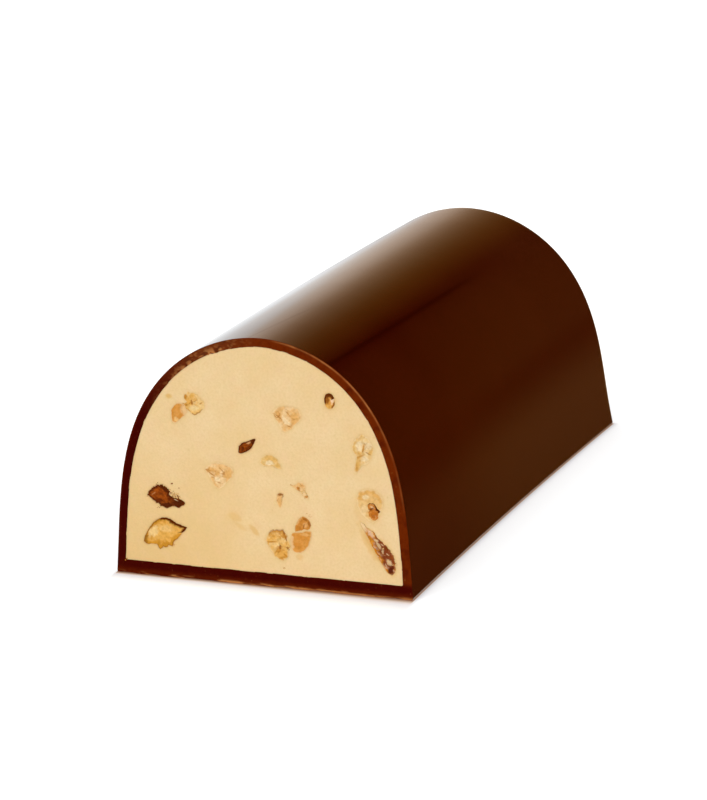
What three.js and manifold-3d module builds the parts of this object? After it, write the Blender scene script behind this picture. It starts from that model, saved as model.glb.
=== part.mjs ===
// A cut nougat bar: a half-round moulded loaf of honey nougat with chopped nuts, coated in dark
// chocolate. One end is closed by the coating and the other is the flat cut that shows the filling.
// Units are millimetres. X runs across the base, Y from the cut to the closed end, Z upwards.

import * as THREE from 'three';
import { mergeVertices } from 'three/addons/utils/BufferGeometryUtils.js';
import Module from 'manifold-3d';

const wasm = await Module();
wasm.setup();

// Size of the loaf
const WIDTH = 40; // across the base at the cut
const HEIGHT = 32.1; // base to crown
const LENGTH = 88.4; // cut to closed end, measured at the base
const WALL = 1.15; // chocolate on the sides and over the crown
const BASE = 1.8; // chocolate under the nougat
const END_WALL = 1.5; // chocolate over the closed end
const END_RADIUS = 3; // rounded shoulder of the closed end
const GAP = 0.3; // clear space between neighbouring pieces

// Form of the half-round section
const SPRING = 4.5; // height at which the straight side becomes the arch
const DRAFT = 0.068; // each side leans in by this much for every millimetre of height
const ARCH_RISE = 3.1; // superellipse power of the arch's height
const ARCH_SPAN = 1.95; // superellipse power of the arch's half width
const FOOT_SHARE = 0.12; // share of the half outline that is the straight side
const END_SHOULDER = 1; // share of the height over which the end shoulder fades in

// Slight unevenness of the moulded loaf
const BOW = -0.5; // sideways bend at mid length
const LEAN = 0.12; // the closed end leans towards the cut by this much for each millimetre of height
const LEAN_POWER = 4; // how late along the loaf the lean sets in

// Fineness of the faces
const ARCH_STEPS = 34;
const BASE_STEPS = 6;
const BODY_STEPS = 6;
const SHOULDER_STEPS = 3;
const NUT_SIDES = 14;
const NUT_RINGS = 3;

// Nut pieces in the cut
const NUT_ROUGHNESS = 0.06; // bumps on a piece, as a share of its size
const NUT_BUMPS = [3, 5]; // bumps round a piece, coarse and fine
const NUT_DOME = 0.12; // how far a piece's edge lies behind its middle
const NUT_TIP = 0.35; // size of a piece's hidden end, as a share of its outline
const CUT_REACH = 1; // how far a cutting shape reaches past the face it opens
const CHIP_DEPTH = 0.6; // how far an edge chip reaches along the base

const MITRE_LIMIT = 0.5; // keeps a sharp corner from growing into a spike
const SAME_POINT = 1e-5; // points closer than this are one

const FINISHES = {
  chocolate: { color: 0x3f1507, roughness: 0.25 },
  nougat: { color: 0xf0d19a, roughness: 0.7 },
  darkNut: { color: 0x5a230c, roughness: 0.6 },
  almond: { color: 0xebb95f, roughness: 0.6 },
  tanNut: { color: 0xde9b50, roughness: 0.6 },
  brownNut: { color: 0xb9692a, roughness: 0.6 },
  crisp: { color: 0xe6b877, roughness: 0.6 },
  paleCrisp: { color: 0xeecf98, roughness: 0.6 },
  skin: { color: 0x9a5524, roughness: 0.6 },
};

// Each nut piece is one or two kernels. A kernel's outline in the cut is set by where it lies
// (at: X and Z), its length, its tilt in degrees, how far it rises above and drops below its
// long axis, how pointed its ends are, and on which end each side is fuller (skew).
const NUT_PIECES = [
  {
    name: 'roasted_nut_piece', finish: 'darkNut', depth: 3.2,
    kernels: [
      { at: [-13.4, 10.35], length: 4.1, tilt: -11, rise: 1.7, drop: 1.15, point: 1, skew: [-0.2, 0.5] },
      { at: [-11.9, 9.95], length: 3.4, tilt: -4, rise: 0.6, drop: 0.7, point: 0.3, skew: [-0.2, 0] },
    ],
  },
  {
    name: 'almond_piece', finish: 'almond', depth: 3.4,
    kernels: [
      { at: [-13.2, 5.6], length: 6.4, tilt: 22, rise: 2.2, drop: 1.6, point: 1.2, skew: [0.1, -0.3] },
    ],
  },
  {
    name: 'dark_nut_chip', finish: 'darkNut', depth: 1.4,
    kernels: [
      { at: [-1.7, 18.15], length: 3.1, tilt: 39, rise: 0.7, drop: 0.5, point: 0.8, skew: [-0.6, -0.3] },
    ],
  },
  {
    name: 'brown_nut_piece', finish: 'brownNut', depth: 1.5,
    kernels: [
      { at: [9.35, 24.8], length: 1.95, tilt: 98, rise: 0.7, drop: 0.7, point: 0, skew: [0, 0] },
    ],
  },
  {
    name: 'tan_nut_piece', finish: 'tanNut', depth: 1.8,
    kernels: [
      { at: [-10.85, 22], length: 2, tilt: -16, rise: 0.8, drop: 1.6, point: 0.5, skew: [0.2, -0.5] },
    ],
  },
  {
    name: 'crisp_piece_left', finish: 'crisp', depth: 2,
    kernels: [
      { at: [-9.05, 23.1], length: 3, tilt: -69, rise: 1.7, drop: 0.7, point: 0.2, skew: [-0.2, 0] },
    ],
  },
  {
    name: 'crisp_piece_top', finish: 'crisp', depth: 2.4,
    kernels: [
      { at: [3.6, 22.3], length: 3.9, tilt: 8, rise: 1.2, drop: 1.8, point: 0.3, skew: [0.2, 0] },
    ],
  },
  {
    name: 'crisp_piece_middle', finish: 'crisp', depth: 2.4,
    kernels: [
      { at: [-5.6, 14.5], length: 3.9, tilt: -2, rise: 1.05, drop: 2.1, point: 0.4, skew: [0, 0.1] },
    ],
  },
  {
    name: 'crisp_piece_right', finish: 'paleCrisp', depth: 2.2,
    kernels: [
      { at: [13.7, 19.05], length: 3.9, tilt: 80, rise: 1.3, drop: 1.2, point: 0.3, skew: [0.1, 0.2] },
      { at: [12.95, 16.9], length: 2, tilt: 70, rise: 0.35, drop: 0.35, point: 0.3, skew: [0.2, 0.2] },
    ],
  },
  {
    name: 'pale_nut_crescent', finish: 'crisp', depth: 1.2,
    kernels: [
      { at: [1.35, 15.9], length: 2.9, tilt: -6, rise: 1.25, drop: 0.3, point: 0.2, skew: [0.1, 0] },
    ],
  },
  {
    name: 'nut_crumb_upper', finish: 'tanNut', depth: 1,
    kernels: [
      { at: [5.3, 13], length: 2.4, tilt: -38, rise: 0.55, drop: 0.5, point: 0.3, skew: [0, 0] },
    ],
  },
  {
    name: 'nut_crumb_lower', finish: 'brownNut', depth: 1,
    kernels: [
      { at: [2.6, 11.65], length: 1.9, tilt: -84, rise: 0.4, drop: 0.35, point: 0.5, skew: [-0.5, -0.5] },
    ],
  },
  {
    name: 'nut_half_upper', finish: 'brownNut', depth: 2,
    kernels: [
      { at: [5.65, 8.45], length: 2.3, tilt: 26, rise: 1.05, drop: 0.4, point: 0.4, skew: [0.2, 0.3] },
    ],
  },
  {
    name: 'nut_half_lower', finish: 'tanNut', depth: 2.4,
    kernels: [
      { at: [5.55, 6.1], length: 3.5, tilt: 52, rise: 1.5, drop: 0.7, point: 0.8, skew: [-0.15, -0.1] },
    ],
  },
  {
    name: 'crisp_piece_lower', finish: 'crisp', depth: 2.6,
    kernels: [
      { at: [2.1, 5.9], length: 3.1, tilt: 0, rise: 1.7, drop: 2.15, point: 0.3, skew: [0, 0.4] },
    ],
  },
  {
    name: 'caramel_nut', finish: 'brownNut', depth: 1.6,
    kernels: [
      { at: [14.85, 11.1], length: 2.5, tilt: -70, rise: 0.75, drop: 0.75, point: 0.25, skew: [-0.2, 0.2] },
    ],
  },
  {
    name: 'caramel_crisp_piece', finish: 'crisp', depth: 2,
    kernels: [
      { at: [14.5, 12.5], length: 3.3, tilt: -2, rise: 1.2, drop: 2.2, point: 0.4, skew: [0.1, -0.3] },
    ],
  },
  {
    name: 'almond_sliver', finish: 'skin', depth: 2.6,
    kernels: [
      { at: [15.4, 6.3], length: 7.5, tilt: -58, rise: 0.95, drop: 0.4, point: 0.4, skew: [0.6, 0.5] },
    ],
  },
];

// Chips that the knife broke from the base's lower edge: middle (X), width and height
const EDGE_CHIPS = [
  { at: -18.6, width: 2.6, height: 0.25 },
  { at: -14.8, width: 1.8, height: 0.2 },
  { at: -9, width: 5, height: 0.14 },
  { at: 3, width: 2.4, height: 0.14 },
  { at: 8, width: 3.2, height: 0.16 },
  { at: 17.4, width: 3, height: 0.2 },
];

// The arch of the section from its right foot over the crown to its left foot.
// inset moves it inwards and floor is the height of its feet.
class ArchCurve extends THREE.Curve {
  constructor(inset, floor) {
    super();
    this.inset = inset;
    this.floor = floor;
  }

  getPoint(t) {
    const side = t < 0.5 ? 1 : -1;
    const share = 1 - Math.abs(2 * t - 1);
    const turn = Math.max(0, (share - FOOT_SHARE) / (1 - FOOT_SHARE)) * (Math.PI / 2);
    const foot = Math.min(1, share / FOOT_SHARE);
    const wall = this.floor + (SPRING - this.floor) * foot;
    const z = wall + (HEIGHT - this.inset - SPRING) * Math.sin(turn) ** (2 / ARCH_RISE);
    const halfWidth = WIDTH / 2 - this.inset - DRAFT * z;
    const narrowing = Math.max(0, Math.cos(turn)) ** (2 / ARCH_SPAN);
    return new THREE.Vector2(side * halfWidth * narrowing, z);
  }
}

// The closed outline of the section, anticlockwise as seen from the cut.
function sectionOutline(inset, floor) {
  const arch = new ArchCurve(inset, floor);
  const outline = arch.getSpacedPoints(ARCH_STEPS);
  const left = outline[outline.length - 1];
  const right = outline[0];
  for (let step = 1; step < BASE_STEPS; step += 1) {
    outline.push(left.clone().lerp(right, step / BASE_STEPS));
  }
  return outline;
}

// Puts a point of the section at y along the loaf, with the end shoulder, bow and lean.
function placeInLoaf(point, y, end) {
  const turn = THREE.MathUtils.clamp((y - end) / END_RADIUS + 1, 0, 1);
  const drop = END_RADIUS * (1 - Math.sqrt(1 - turn * turn));
  const fade = Math.min(1, point.y / (END_SHOULDER * HEIGHT));
  const along = y / LENGTH;
  const x = point.x * (1 - (drop / (WIDTH / 2)) * fade) + BOW * 4 * along * (1 - along);
  const z = point.y * (1 - drop / HEIGHT);
  return new THREE.Vector3(x, y - LEAN * z * along ** LEAN_POWER, z);
}

// A closed geometry over rings of equal point count, the first ring facing the cut.
// frontMiddle, where given, is the point at which the front face's triangles meet.
function loft(rings, frontMiddle = centreOf(rings[0])) {
  const count = rings[0].length;
  const vertices = rings.flat();
  const front = vertices.push(frontMiddle) - 1;
  const back = vertices.push(centreOf(rings[rings.length - 1])) - 1;
  const indices = [];
  for (let i = 0; i < count; i += 1) {
    const next = (i + 1) % count;
    indices.push(front, i, next);
    for (let ring = 0; ring < rings.length - 1; ring += 1) {
      const near = ring * count;
      const far = near + count;
      indices.push(near + i, far + i, near + next, near + next, far + i, far + next);
    }
    const last = (rings.length - 1) * count;
    indices.push(back, last + next, last + i);
  }
  const geometry = new THREE.BufferGeometry().setFromPoints(vertices);
  geometry.setIndex(indices);
  return geometry;
}

function centreOf(points) {
  const sum = points.reduce((total, point) => total.add(point), new THREE.Vector3());
  return sum.divideScalar(points.length);
}

function toManifold(geometry) {
  const plain = geometry.clone();
  plain.deleteAttribute('normal');
  plain.deleteAttribute('uv');
  const merged = mergeVertices(plain, SAME_POINT);
  return new wasm.Manifold(new wasm.Mesh({
    numProp: 3,
    vertProperties: new Float32Array(merged.attributes.position.array),
    triVerts: new Uint32Array(merged.index.array),
  }));
}

function toGeometry(manifold) {
  const mesh = manifold.getMesh();
  const geometry = new THREE.BufferGeometry();
  geometry.setAttribute('position', new THREE.BufferAttribute(new Float32Array(mesh.vertProperties), 3));
  geometry.setIndex(Array.from(mesh.triVerts));
  return geometry;
}

// A length of the loaf with the given section, from y = start to y = end.
function loafSolid(inset, floor, start, end) {
  const outline = sectionOutline(inset, floor);
  const bend = end - END_RADIUS;
  const stations = [];
  for (let step = 0; step <= BODY_STEPS; step += 1) {
    stations.push(start + ((bend - start) * step) / BODY_STEPS);
  }
  for (let step = 1; step <= SHOULDER_STEPS; step += 1) {
    stations.push(bend + END_RADIUS * Math.sin((Math.PI / 2) * (step / SHOULDER_STEPS)));
  }
  return toManifold(loft(stations.map((y) => outline.map((point) => placeInLoaf(point, y, end)))));
}

// The outline of a kernel as [x, z] offsets from its middle, anticlockwise from its right end.
function kernelOutline(kernel, seed) {
  const points = [];
  const tilt = THREE.MathUtils.degToRad(kernel.tilt);
  for (let i = 0; i < NUT_SIDES; i += 1) {
    const turn = (2 * Math.PI * i) / NUT_SIDES;
    const c = Math.cos(turn);
    const s = Math.sin(turn);
    const reach = s >= 0 ? kernel.rise * (1 + kernel.skew[0] * c) : kernel.drop * (1 + kernel.skew[1] * c);
    const bump = NUT_BUMPS.reduce(
      (size, count) => size + NUT_ROUGHNESS * Math.sin(count * (turn + seed)),
      1,
    );
    const flat = new THREE.Vector2((kernel.length / 2) * c, reach * s * Math.abs(s) ** kernel.point);
    points.push(flat.multiplyScalar(bump).rotateAround(new THREE.Vector2(), tilt));
  }
  return points;
}

// Moves an outline outwards by a distance, measured square to its sides.
function growOutline(points, distance) {
  return points.map((point, i) => {
    const before = points[(i + points.length - 1) % points.length];
    const after = points[(i + 1) % points.length];
    const sideIn = new THREE.Vector2(point.y - before.y, before.x - point.x).normalize();
    const sideOut = new THREE.Vector2(after.y - point.y, point.x - after.x).normalize();
    const outward = sideIn.clone().add(sideOut).normalize();
    const reach = distance / Math.max(MITRE_LIMIT, outward.dot(sideIn));
    return point.clone().addScaledVector(outward, reach);
  });
}

// A kernel's solid, from the cut back into the nougat. grow makes it larger all round, and as a
// cutter it also reaches out past the cut.
function kernelSolid({ kernel, depth, seed, grow = 0, cutter = false }) {
  const [atX, atZ] = kernel.at;
  const edgeY = cutter ? -CUT_REACH : NUT_DOME;
  const middleY = cutter ? -CUT_REACH : 0;
  const rings = [];
  for (let ring = 0; ring <= NUT_RINGS; ring += 1) {
    const share = ring / NUT_RINGS;
    const size = Math.max(NUT_TIP, Math.sqrt(1 - share * share));
    const outline = kernelOutline(kernel, seed + share);
    const shrunk = outline.map((point) => point.multiplyScalar(size));
    const y = ring === 0 ? edgeY : NUT_DOME + (depth + grow - NUT_DOME) * share;
    rings.push(growOutline(shrunk, grow).map((point) => new THREE.Vector3(atX + point.x, y, atZ + point.y)));
  }
  return toManifold(loft(rings, new THREE.Vector3(atX, middleY, atZ)));
}

// A nut piece, its kernels joined.
function nutSolid(piece, seed) {
  const solids = piece.kernels.map((kernel) => kernelSolid({ kernel, depth: piece.depth, seed }));
  return solids.reduce((joined, solid) => joined.add(solid));
}

// The pit that a nut piece lies in, clear of it all round and open at the cut.
function pitSolid({ kernels, depth }, seed) {
  const solids = kernels.map((kernel) => kernelSolid({ kernel, depth, seed, grow: GAP, cutter: true }));
  return solids.reduce((joined, solid) => joined.add(solid));
}

// The bite that a chip leaves in the lower front edge of the base.
function chipSolid({ at, width, height }) {
  const oval = { tilt: 0, point: 0, skew: [0, 0] };
  const kernel = { ...oval, at: [at, 0], length: width, rise: height, drop: BASE };
  return kernelSolid({ kernel, depth: CHIP_DEPTH, seed: at, cutter: true });
}

function largestBody(manifold) {
  return manifold.decompose().reduce((best, body) => (body.volume() > best.volume() ? body : best));
}

function coatingSolid() {
  const outside = loafSolid(0, 0, 0, LENGTH);
  const cavity = loafSolid(WALL, BASE, -CUT_REACH, LENGTH - END_WALL);
  return EDGE_CHIPS.reduce((coating, chip) => coating.subtract(chipSolid(chip)), outside.subtract(cavity));
}

function nougatSolid(pits) {
  const log = loafSolid(WALL + GAP, BASE + GAP, 0, LENGTH - END_WALL - GAP);
  return pits.reduce((nougat, pit) => nougat.subtract(pit), log);
}

function makeMesh(name, solid, finish) {
  const material = new THREE.MeshStandardMaterial({ ...FINISHES[finish], metalness: 0 });
  const mesh = new THREE.Mesh(toGeometry(solid), material);
  mesh.name = name;
  return mesh;
}

function buildBar() {
  const bar = new THREE.Group();
  const pits = NUT_PIECES.map(pitSolid);
  bar.add(makeMesh('chocolate_coating', coatingSolid(), 'chocolate'));
  bar.add(makeMesh('nougat_filling', largestBody(nougatSolid(pits)), 'nougat'));
  NUT_PIECES.forEach((piece, index) => {
    const earlier = pits.slice(0, index);
    const solid = earlier.reduce((nut, pit) => nut.subtract(pit), nutSolid(piece, index));
    bar.add(makeMesh(piece.name, largestBody(solid), piece.finish));
  });
  // The bar's own origin is under its middle: half the bow to the side and half the length back.
  bar.position.set(-BOW / 2, -LENGTH / 2, 0);
  return bar;
}

const group = buildBar();

export default group;
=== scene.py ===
"""A cut nougat bar: a half-round loaf of pale nougat with chopped nuts in moulded dark chocolate.

Shapes are worked out in millimetres in the loaf's own frame (X across the base, Y from the cut to the
closed end, Z up, the cut at y = 0) and put into the shared frame in metres by LoafForm.to_frame.
"""

from __future__ import annotations

import logging
import math
from dataclasses import dataclass
from enum import Enum

import bpy
import numpy as np
from mathutils import Matrix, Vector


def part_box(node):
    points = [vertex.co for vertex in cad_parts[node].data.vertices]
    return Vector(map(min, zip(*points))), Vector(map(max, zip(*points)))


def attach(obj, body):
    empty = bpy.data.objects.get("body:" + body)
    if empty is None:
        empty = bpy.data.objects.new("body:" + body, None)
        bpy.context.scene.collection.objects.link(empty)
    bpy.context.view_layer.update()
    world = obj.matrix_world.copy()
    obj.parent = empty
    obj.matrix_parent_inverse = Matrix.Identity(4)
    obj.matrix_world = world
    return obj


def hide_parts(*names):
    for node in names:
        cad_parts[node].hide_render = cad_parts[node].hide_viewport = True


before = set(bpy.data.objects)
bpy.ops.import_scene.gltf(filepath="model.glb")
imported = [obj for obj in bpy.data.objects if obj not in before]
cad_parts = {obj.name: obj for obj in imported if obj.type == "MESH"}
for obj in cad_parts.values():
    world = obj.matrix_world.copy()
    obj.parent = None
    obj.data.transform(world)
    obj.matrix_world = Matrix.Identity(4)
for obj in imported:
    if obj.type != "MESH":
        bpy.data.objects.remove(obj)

log = logging.getLogger("nougat_bar")

MM = 0.001
BODY = "root"

Pair = tuple[float, float]
Screen = tuple[int, int, int]
Colour = tuple[float, float, float, float]
Socket = bpy.types.NodeSocket


def smoothstep(low: float, high: float, value: np.ndarray) -> np.ndarray:
    """0 below low, 1 above high and 3t^2 - 2t^3 between them.

    Args:
        low: the value where the step starts.
        high: the value where the step ends.
        value: the values to step.

    Returns:
        The stepped values.
    """
    t = np.clip((value - low) / (high - low), 0.0, 1.0)
    return t * t * (3.0 - 2.0 * t)


def linear(red: int, green: int, blue: int) -> Colour:
    """A screen colour as the linear colour that a shader takes, by the sRGB curve.

    Args:
        red: its red, from 0 to 255.
        green: its green.
        blue: its blue.

    Returns:
        The linear red, green and blue, and an alpha of 1.
    """
    channels = [value / 255.0 for value in (red, green, blue)]
    shades = [c / 12.92 if c <= 0.04045 else ((c + 0.055) / 1.055) ** 2.4 for c in channels]
    return (shades[0], shades[1], shades[2], 1.0)


@dataclass(frozen=True)
class Flakes:
    """What a pattern of flakes gives at each point.

    That is how far the flake's edge lies, two values from 0 to 1 for the flake, and its height
    from being tipped.
    """

    edge: np.ndarray
    shade: np.ndarray
    other: np.ndarray
    slope: np.ndarray


class Grain:
    """Repeatable random patterns over points, from a seed."""

    PRIMES = (374761393, 668265263, 1274126177)
    MASK = 0xFFFFFFFF

    def __init__(self, seed: int) -> None:
        """Keeps the seed."""
        self.seed = seed

    def value(self, cells: np.ndarray, salt: int = 0) -> np.ndarray:
        """A value from 0 to 1 for each whole-number cell, from a mix of its numbers and the seed.

        Args:
            cells: whole numbers, the last axis holding a cell's two or three numbers.
            salt: changes the values of all the cells.

        Returns:
            One value for each cell.
        """
        whole = cells.astype(np.int64)
        mixed = np.full(whole.shape[:-1], self.seed * 7919 + salt * 104729 + 17, dtype=np.int64)
        for axis in range(whole.shape[-1]):
            mixed = (mixed ^ ((whole[..., axis] * self.PRIMES[axis]) & self.MASK)) & self.MASK
            mixed = ((mixed ^ (mixed >> 13)) * self.PRIMES[2]) & self.MASK
        return ((mixed ^ (mixed >> 15)) & 0xFFFF) / 65535.0

    def smooth(self, points: np.ndarray) -> np.ndarray:
        """Noise from -1 to 1: values on the whole-number lattice, blended with a cubic fade.

        Args:
            points: the points, two or three numbers each.

        Returns:
            One value for each point.
        """
        corner = np.floor(points)
        part = points - corner
        fade = part * part * (3.0 - 2.0 * part)
        total = np.zeros(points.shape[:-1])
        axes = points.shape[-1]
        for bits in range(2 ** axes):
            step = np.array([(bits >> axis) & 1 for axis in range(axes)])
            weight = np.prod(np.where(step == 1, fade, 1.0 - fade), axis=-1)
            total += weight * self.value(corner + step)
        return 2.0 * total - 1.0

    def layered(self, points: np.ndarray, layers: int = 4) -> np.ndarray:
        """Layers of smooth noise, each twice as fine and half as strong, from about -1 to 1.

        Args:
            points: the points, two or three numbers each.
            layers: the number of layers.

        Returns:
            One value for each point.
        """
        total = np.zeros(points.shape[:-1])
        for layer in range(layers):
            total += self.smooth(points * 2.0 ** layer + 19.7 * layer) / 2.0 ** layer
        return total / (2.0 - 2.0 ** (1 - layers))

    def flakes(self, points: np.ndarray) -> Flakes:
        """Flat flakes round scattered centres, one centre in each square of side 1.

        Args:
            points: the points, two numbers each.

        Returns:
            The flakes at the points.
        """
        cell = np.floor(points)
        nearest = np.full(points.shape[:-1], 9.0)
        second = nearest.copy()
        shade, other, slope = (np.zeros(points.shape[:-1]) for _ in range(3))
        for dx in (-1, 0, 1):
            for dz in (-1, 0, 1):
                square = cell + (dx, dz)
                shift = np.stack([self.value(square, 1), self.value(square, 2)], axis=-1)
                offset = points - square - shift
                gap = np.linalg.norm(offset, axis=-1)
                closer = gap < nearest
                second = np.where(closer, nearest, np.minimum(second, gap))
                turn = 2 * np.pi * self.value(square, 5)
                tipped = offset[..., 0] * np.cos(turn) + offset[..., 1] * np.sin(turn)
                shade = np.where(closer, self.value(square, 3), shade)
                other = np.where(closer, self.value(square, 4), other)
                slope = np.where(closer, tipped, slope)
                nearest = np.where(closer, gap, nearest)
        return Flakes(second - nearest, shade, other, slope)


@dataclass(frozen=True)
class LoafForm:
    """The half-round form of the moulded loaf, in millimetres."""

    width: float
    height: float
    length: float
    centre_x: float
    cut_y: float
    spring: float = 4.5
    draft: float = 0.068
    arch_rise: float = 3.1
    arch_span: float = 1.95
    foot_share: float = 0.12
    end_radius: float = 3.0
    end_shoulder: float = 1.0
    bow: float = -0.5
    lean: float = 0.12
    lean_power: int = 4
    arch_count: int = 360
    corner_count: int = 8
    base_count: int = 130
    samples: int = 4000

    @classmethod
    def from_frame(cls, node: str) -> LoafForm:
        """The form that fits a solid's box, which the bow widens at mid length.

        Args:
            node: the solid's name.

        Returns:
            The form.
        """
        low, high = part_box(node)
        size = [(high[axis] - low[axis]) / MM for axis in range(3)]
        middle = (high[0] + low[0]) / 2 / MM
        return cls(size[0] - abs(cls.bow), size[2], size[1], middle - cls.bow / 2, low[1] / MM)

    def outline(self, inset: float, floor: float, corner: float) -> np.ndarray:
        """The section's closed outline, anticlockwise from the right foot as seen from the cut.

        A side rises straight to the spring. Above it the height follows sin^(2/rise) and the half
        width cos^(2/span) of an angle that turns from the side to the crown. Quarter circles join
        the sides to the base.

        Args:
            inset: how far the outline lies inside the outer one.
            floor: the height of its base.
            corner: the radius of its two lower corners.

        Returns:
            An array of X and Z, evenly spaced on each stretch.
        """
        share = np.linspace(0.0, 1.0, self.samples)
        turn = np.clip((share - self.foot_share) / (1.0 - self.foot_share), 0.0, 1.0) * np.pi / 2
        foot = np.minimum(1.0, share / self.foot_share)
        start = floor + corner
        rise = (self.height - inset - self.spring) * np.sin(turn) ** (2 / self.arch_rise)
        z = start + (self.spring - start) * foot + rise
        span = np.maximum(0.0, np.cos(turn)) ** (2 / self.arch_span)
        x = (self.width / 2 - inset - self.draft * z) * span
        half = self._even(np.stack([x, z], axis=-1), self.arch_count // 2 + 1)
        mirrored = half[::-1][1:] * (-1.0, 1.0)
        foot_x = half[0, 0]
        quarter = np.linspace(-np.pi / 2, 0.0, self.corner_count + 1)[1:-1]
        right = np.stack([foot_x + corner * (np.cos(quarter) - 1), start + corner * np.sin(quarter)], -1)
        left = right[::-1] * (-1.0, 1.0)
        across = np.linspace(-foot_x + corner, foot_x - corner, self.base_count)
        base = np.stack([across, np.full_like(across, floor)], axis=-1)
        return np.concatenate([half, mirrored, left, base, right])

    @staticmethod
    def _even(points: np.ndarray, count: int) -> np.ndarray:
        """A curve sampled at equal lengths.

        Args:
            points: points on the curve, in order.
            count: how many points to give.

        Returns:
            The evenly spaced points.
        """
        steps = np.linalg.norm(np.diff(points, axis=0), axis=-1)
        along = np.concatenate([[0.0], np.cumsum(steps)])
        wanted = np.linspace(0.0, along[-1], count)
        return np.stack([np.interp(wanted, along, points[:, axis]) for axis in range(2)], axis=-1)

    def place(self, flat: np.ndarray, y: np.ndarray | float, end: float) -> np.ndarray:
        """Points of the section put at y along the loaf, with the end shoulder, bow and lean.

        Towards the end the section shrinks by R(1 - sqrt(1 - u^2)), the bow moves it sideways by
        4 bow u(1 - u) and the lean moves its top towards the cut.

        Args:
            flat: X and Z of the points.
            y: how far along the loaf they lie.
            end: where this skin's closed end lies.

        Returns:
            X, Y and Z of the points in the loaf's frame.
        """
        y = np.broadcast_to(np.asarray(y, dtype=float), flat.shape[:-1])
        turn = np.clip((y - end) / self.end_radius + 1.0, 0.0, 1.0)
        drop = self.end_radius * (1.0 - np.sqrt(1.0 - turn * turn))
        fade = np.minimum(1.0, flat[..., 1] / (self.end_shoulder * self.height))
        along = y / self.length
        x = flat[..., 0] * (1.0 - drop / (self.width / 2) * fade) + self.bow * 4 * along * (1.0 - along)
        z = flat[..., 1] * (1.0 - drop / self.height)
        return np.stack([x, y - self.lean * z * np.maximum(along, 0.0) ** self.lean_power, z], axis=-1)

    def to_frame(self, points: np.ndarray) -> np.ndarray:
        """Points of the loaf's frame in the shared frame, in metres."""
        return (points + np.array([self.centre_x, self.cut_y, 0.0])) * MM


def closed_skin(name: str, rings: np.ndarray, poles: np.ndarray) -> bpy.types.Mesh:
    """A closed mesh over a grid of rings, with a fan of triangles to a pole at each end.

    Args:
        name: the mesh's name.
        rings: rings of points in metres, anticlockwise as seen from the first pole.
        poles: the points that close the first and the last ring.

    Returns:
        The mesh, its vertices in the order of the rings and then the two poles.
    """
    count, around = rings.shape[:2]
    vertices = np.concatenate([rings.reshape(-1, 3), poles])
    index = np.arange(count * around).reshape(count, around)
    turned = np.roll(index, -1, axis=1)
    quads = np.stack([index[:-1], index[1:], turned[1:], turned[:-1]], axis=-1).reshape(-1, 4)
    first = np.stack([np.full(around, count * around), index[0], turned[0]], axis=-1)
    last = np.stack([np.full(around, count * around + 1), turned[-1], index[-1]], axis=-1)
    mesh = bpy.data.meshes.new(name)
    mesh.from_pydata(vertices.tolist(), [], quads.tolist() + first.tolist() + last.tolist())
    mesh.polygons.foreach_set("use_smooth", np.ones(len(mesh.polygons), dtype=bool))
    mesh.update()
    return mesh


def add_pattern(mesh: bpy.types.Mesh, name: str, values: np.ndarray) -> None:
    """Gives the mesh a named number at each vertex, for its material to read.

    Args:
        mesh: the mesh.
        name: the attribute's name.
        values: one number for each vertex.
    """
    attribute = mesh.attributes.new(name, "FLOAT", "POINT")
    attribute.data.foreach_set("value", values.astype(np.float32).ravel())


class Nodes:
    """A node tree, with short calls for what the finishes and the studio share."""

    def __init__(self, tree: bpy.types.NodeTree) -> None:
        """Keeps the tree, emptied."""
        self.tree = tree
        self.tree.nodes.clear()

    def add(self, kind: str, **settings: object) -> bpy.types.Node:
        """A new node.

        Args:
            kind: its type.
            settings: its properties and their values.

        Returns:
            The node.
        """
        node = self.tree.nodes.new(kind)
        for key, value in settings.items():
            setattr(node, key, value)
        return node

    def link(self, source: Socket, target: Socket) -> None:
        """Joins an output to an input."""
        self.tree.links.new(source, target)

    def ramp(self, fac: Socket, stops: list[tuple[float, Colour]]) -> Socket:
        """A colour for each value of fac, blended between stops.

        Args:
            fac: the number that picks the colour.
            stops: places from 0 to 1 and their colours, in order.

        Returns:
            The colour.
        """
        node = self.add("ShaderNodeValToRGB")
        elements = node.color_ramp.elements
        for place, _ in stops[2:]:
            elements.new(place)
        for element, (place, colour) in zip(elements, stops):
            element.position = place
            element.color = colour
        self.link(fac, node.inputs[0])
        return node.outputs[0]

    def maths(self, operation: str, value: Socket, other: float | Socket = 0.0) -> Socket:
        """A sum, product or the like.

        Args:
            operation: the operation's name.
            value: the first number.
            other: the second number, or the socket that gives it.

        Returns:
            The result.
        """
        node = self.add("ShaderNodeMath", operation=operation)
        self.link(value, node.inputs[0])
        if isinstance(other, float):
            node.inputs[1].default_value = other
        else:
            self.link(other, node.inputs[1])
        return node.outputs[0]

    def times(self, source: Socket, factor: float) -> Socket:
        """A number times a factor."""
        return self.maths("MULTIPLY", source, factor)


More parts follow.
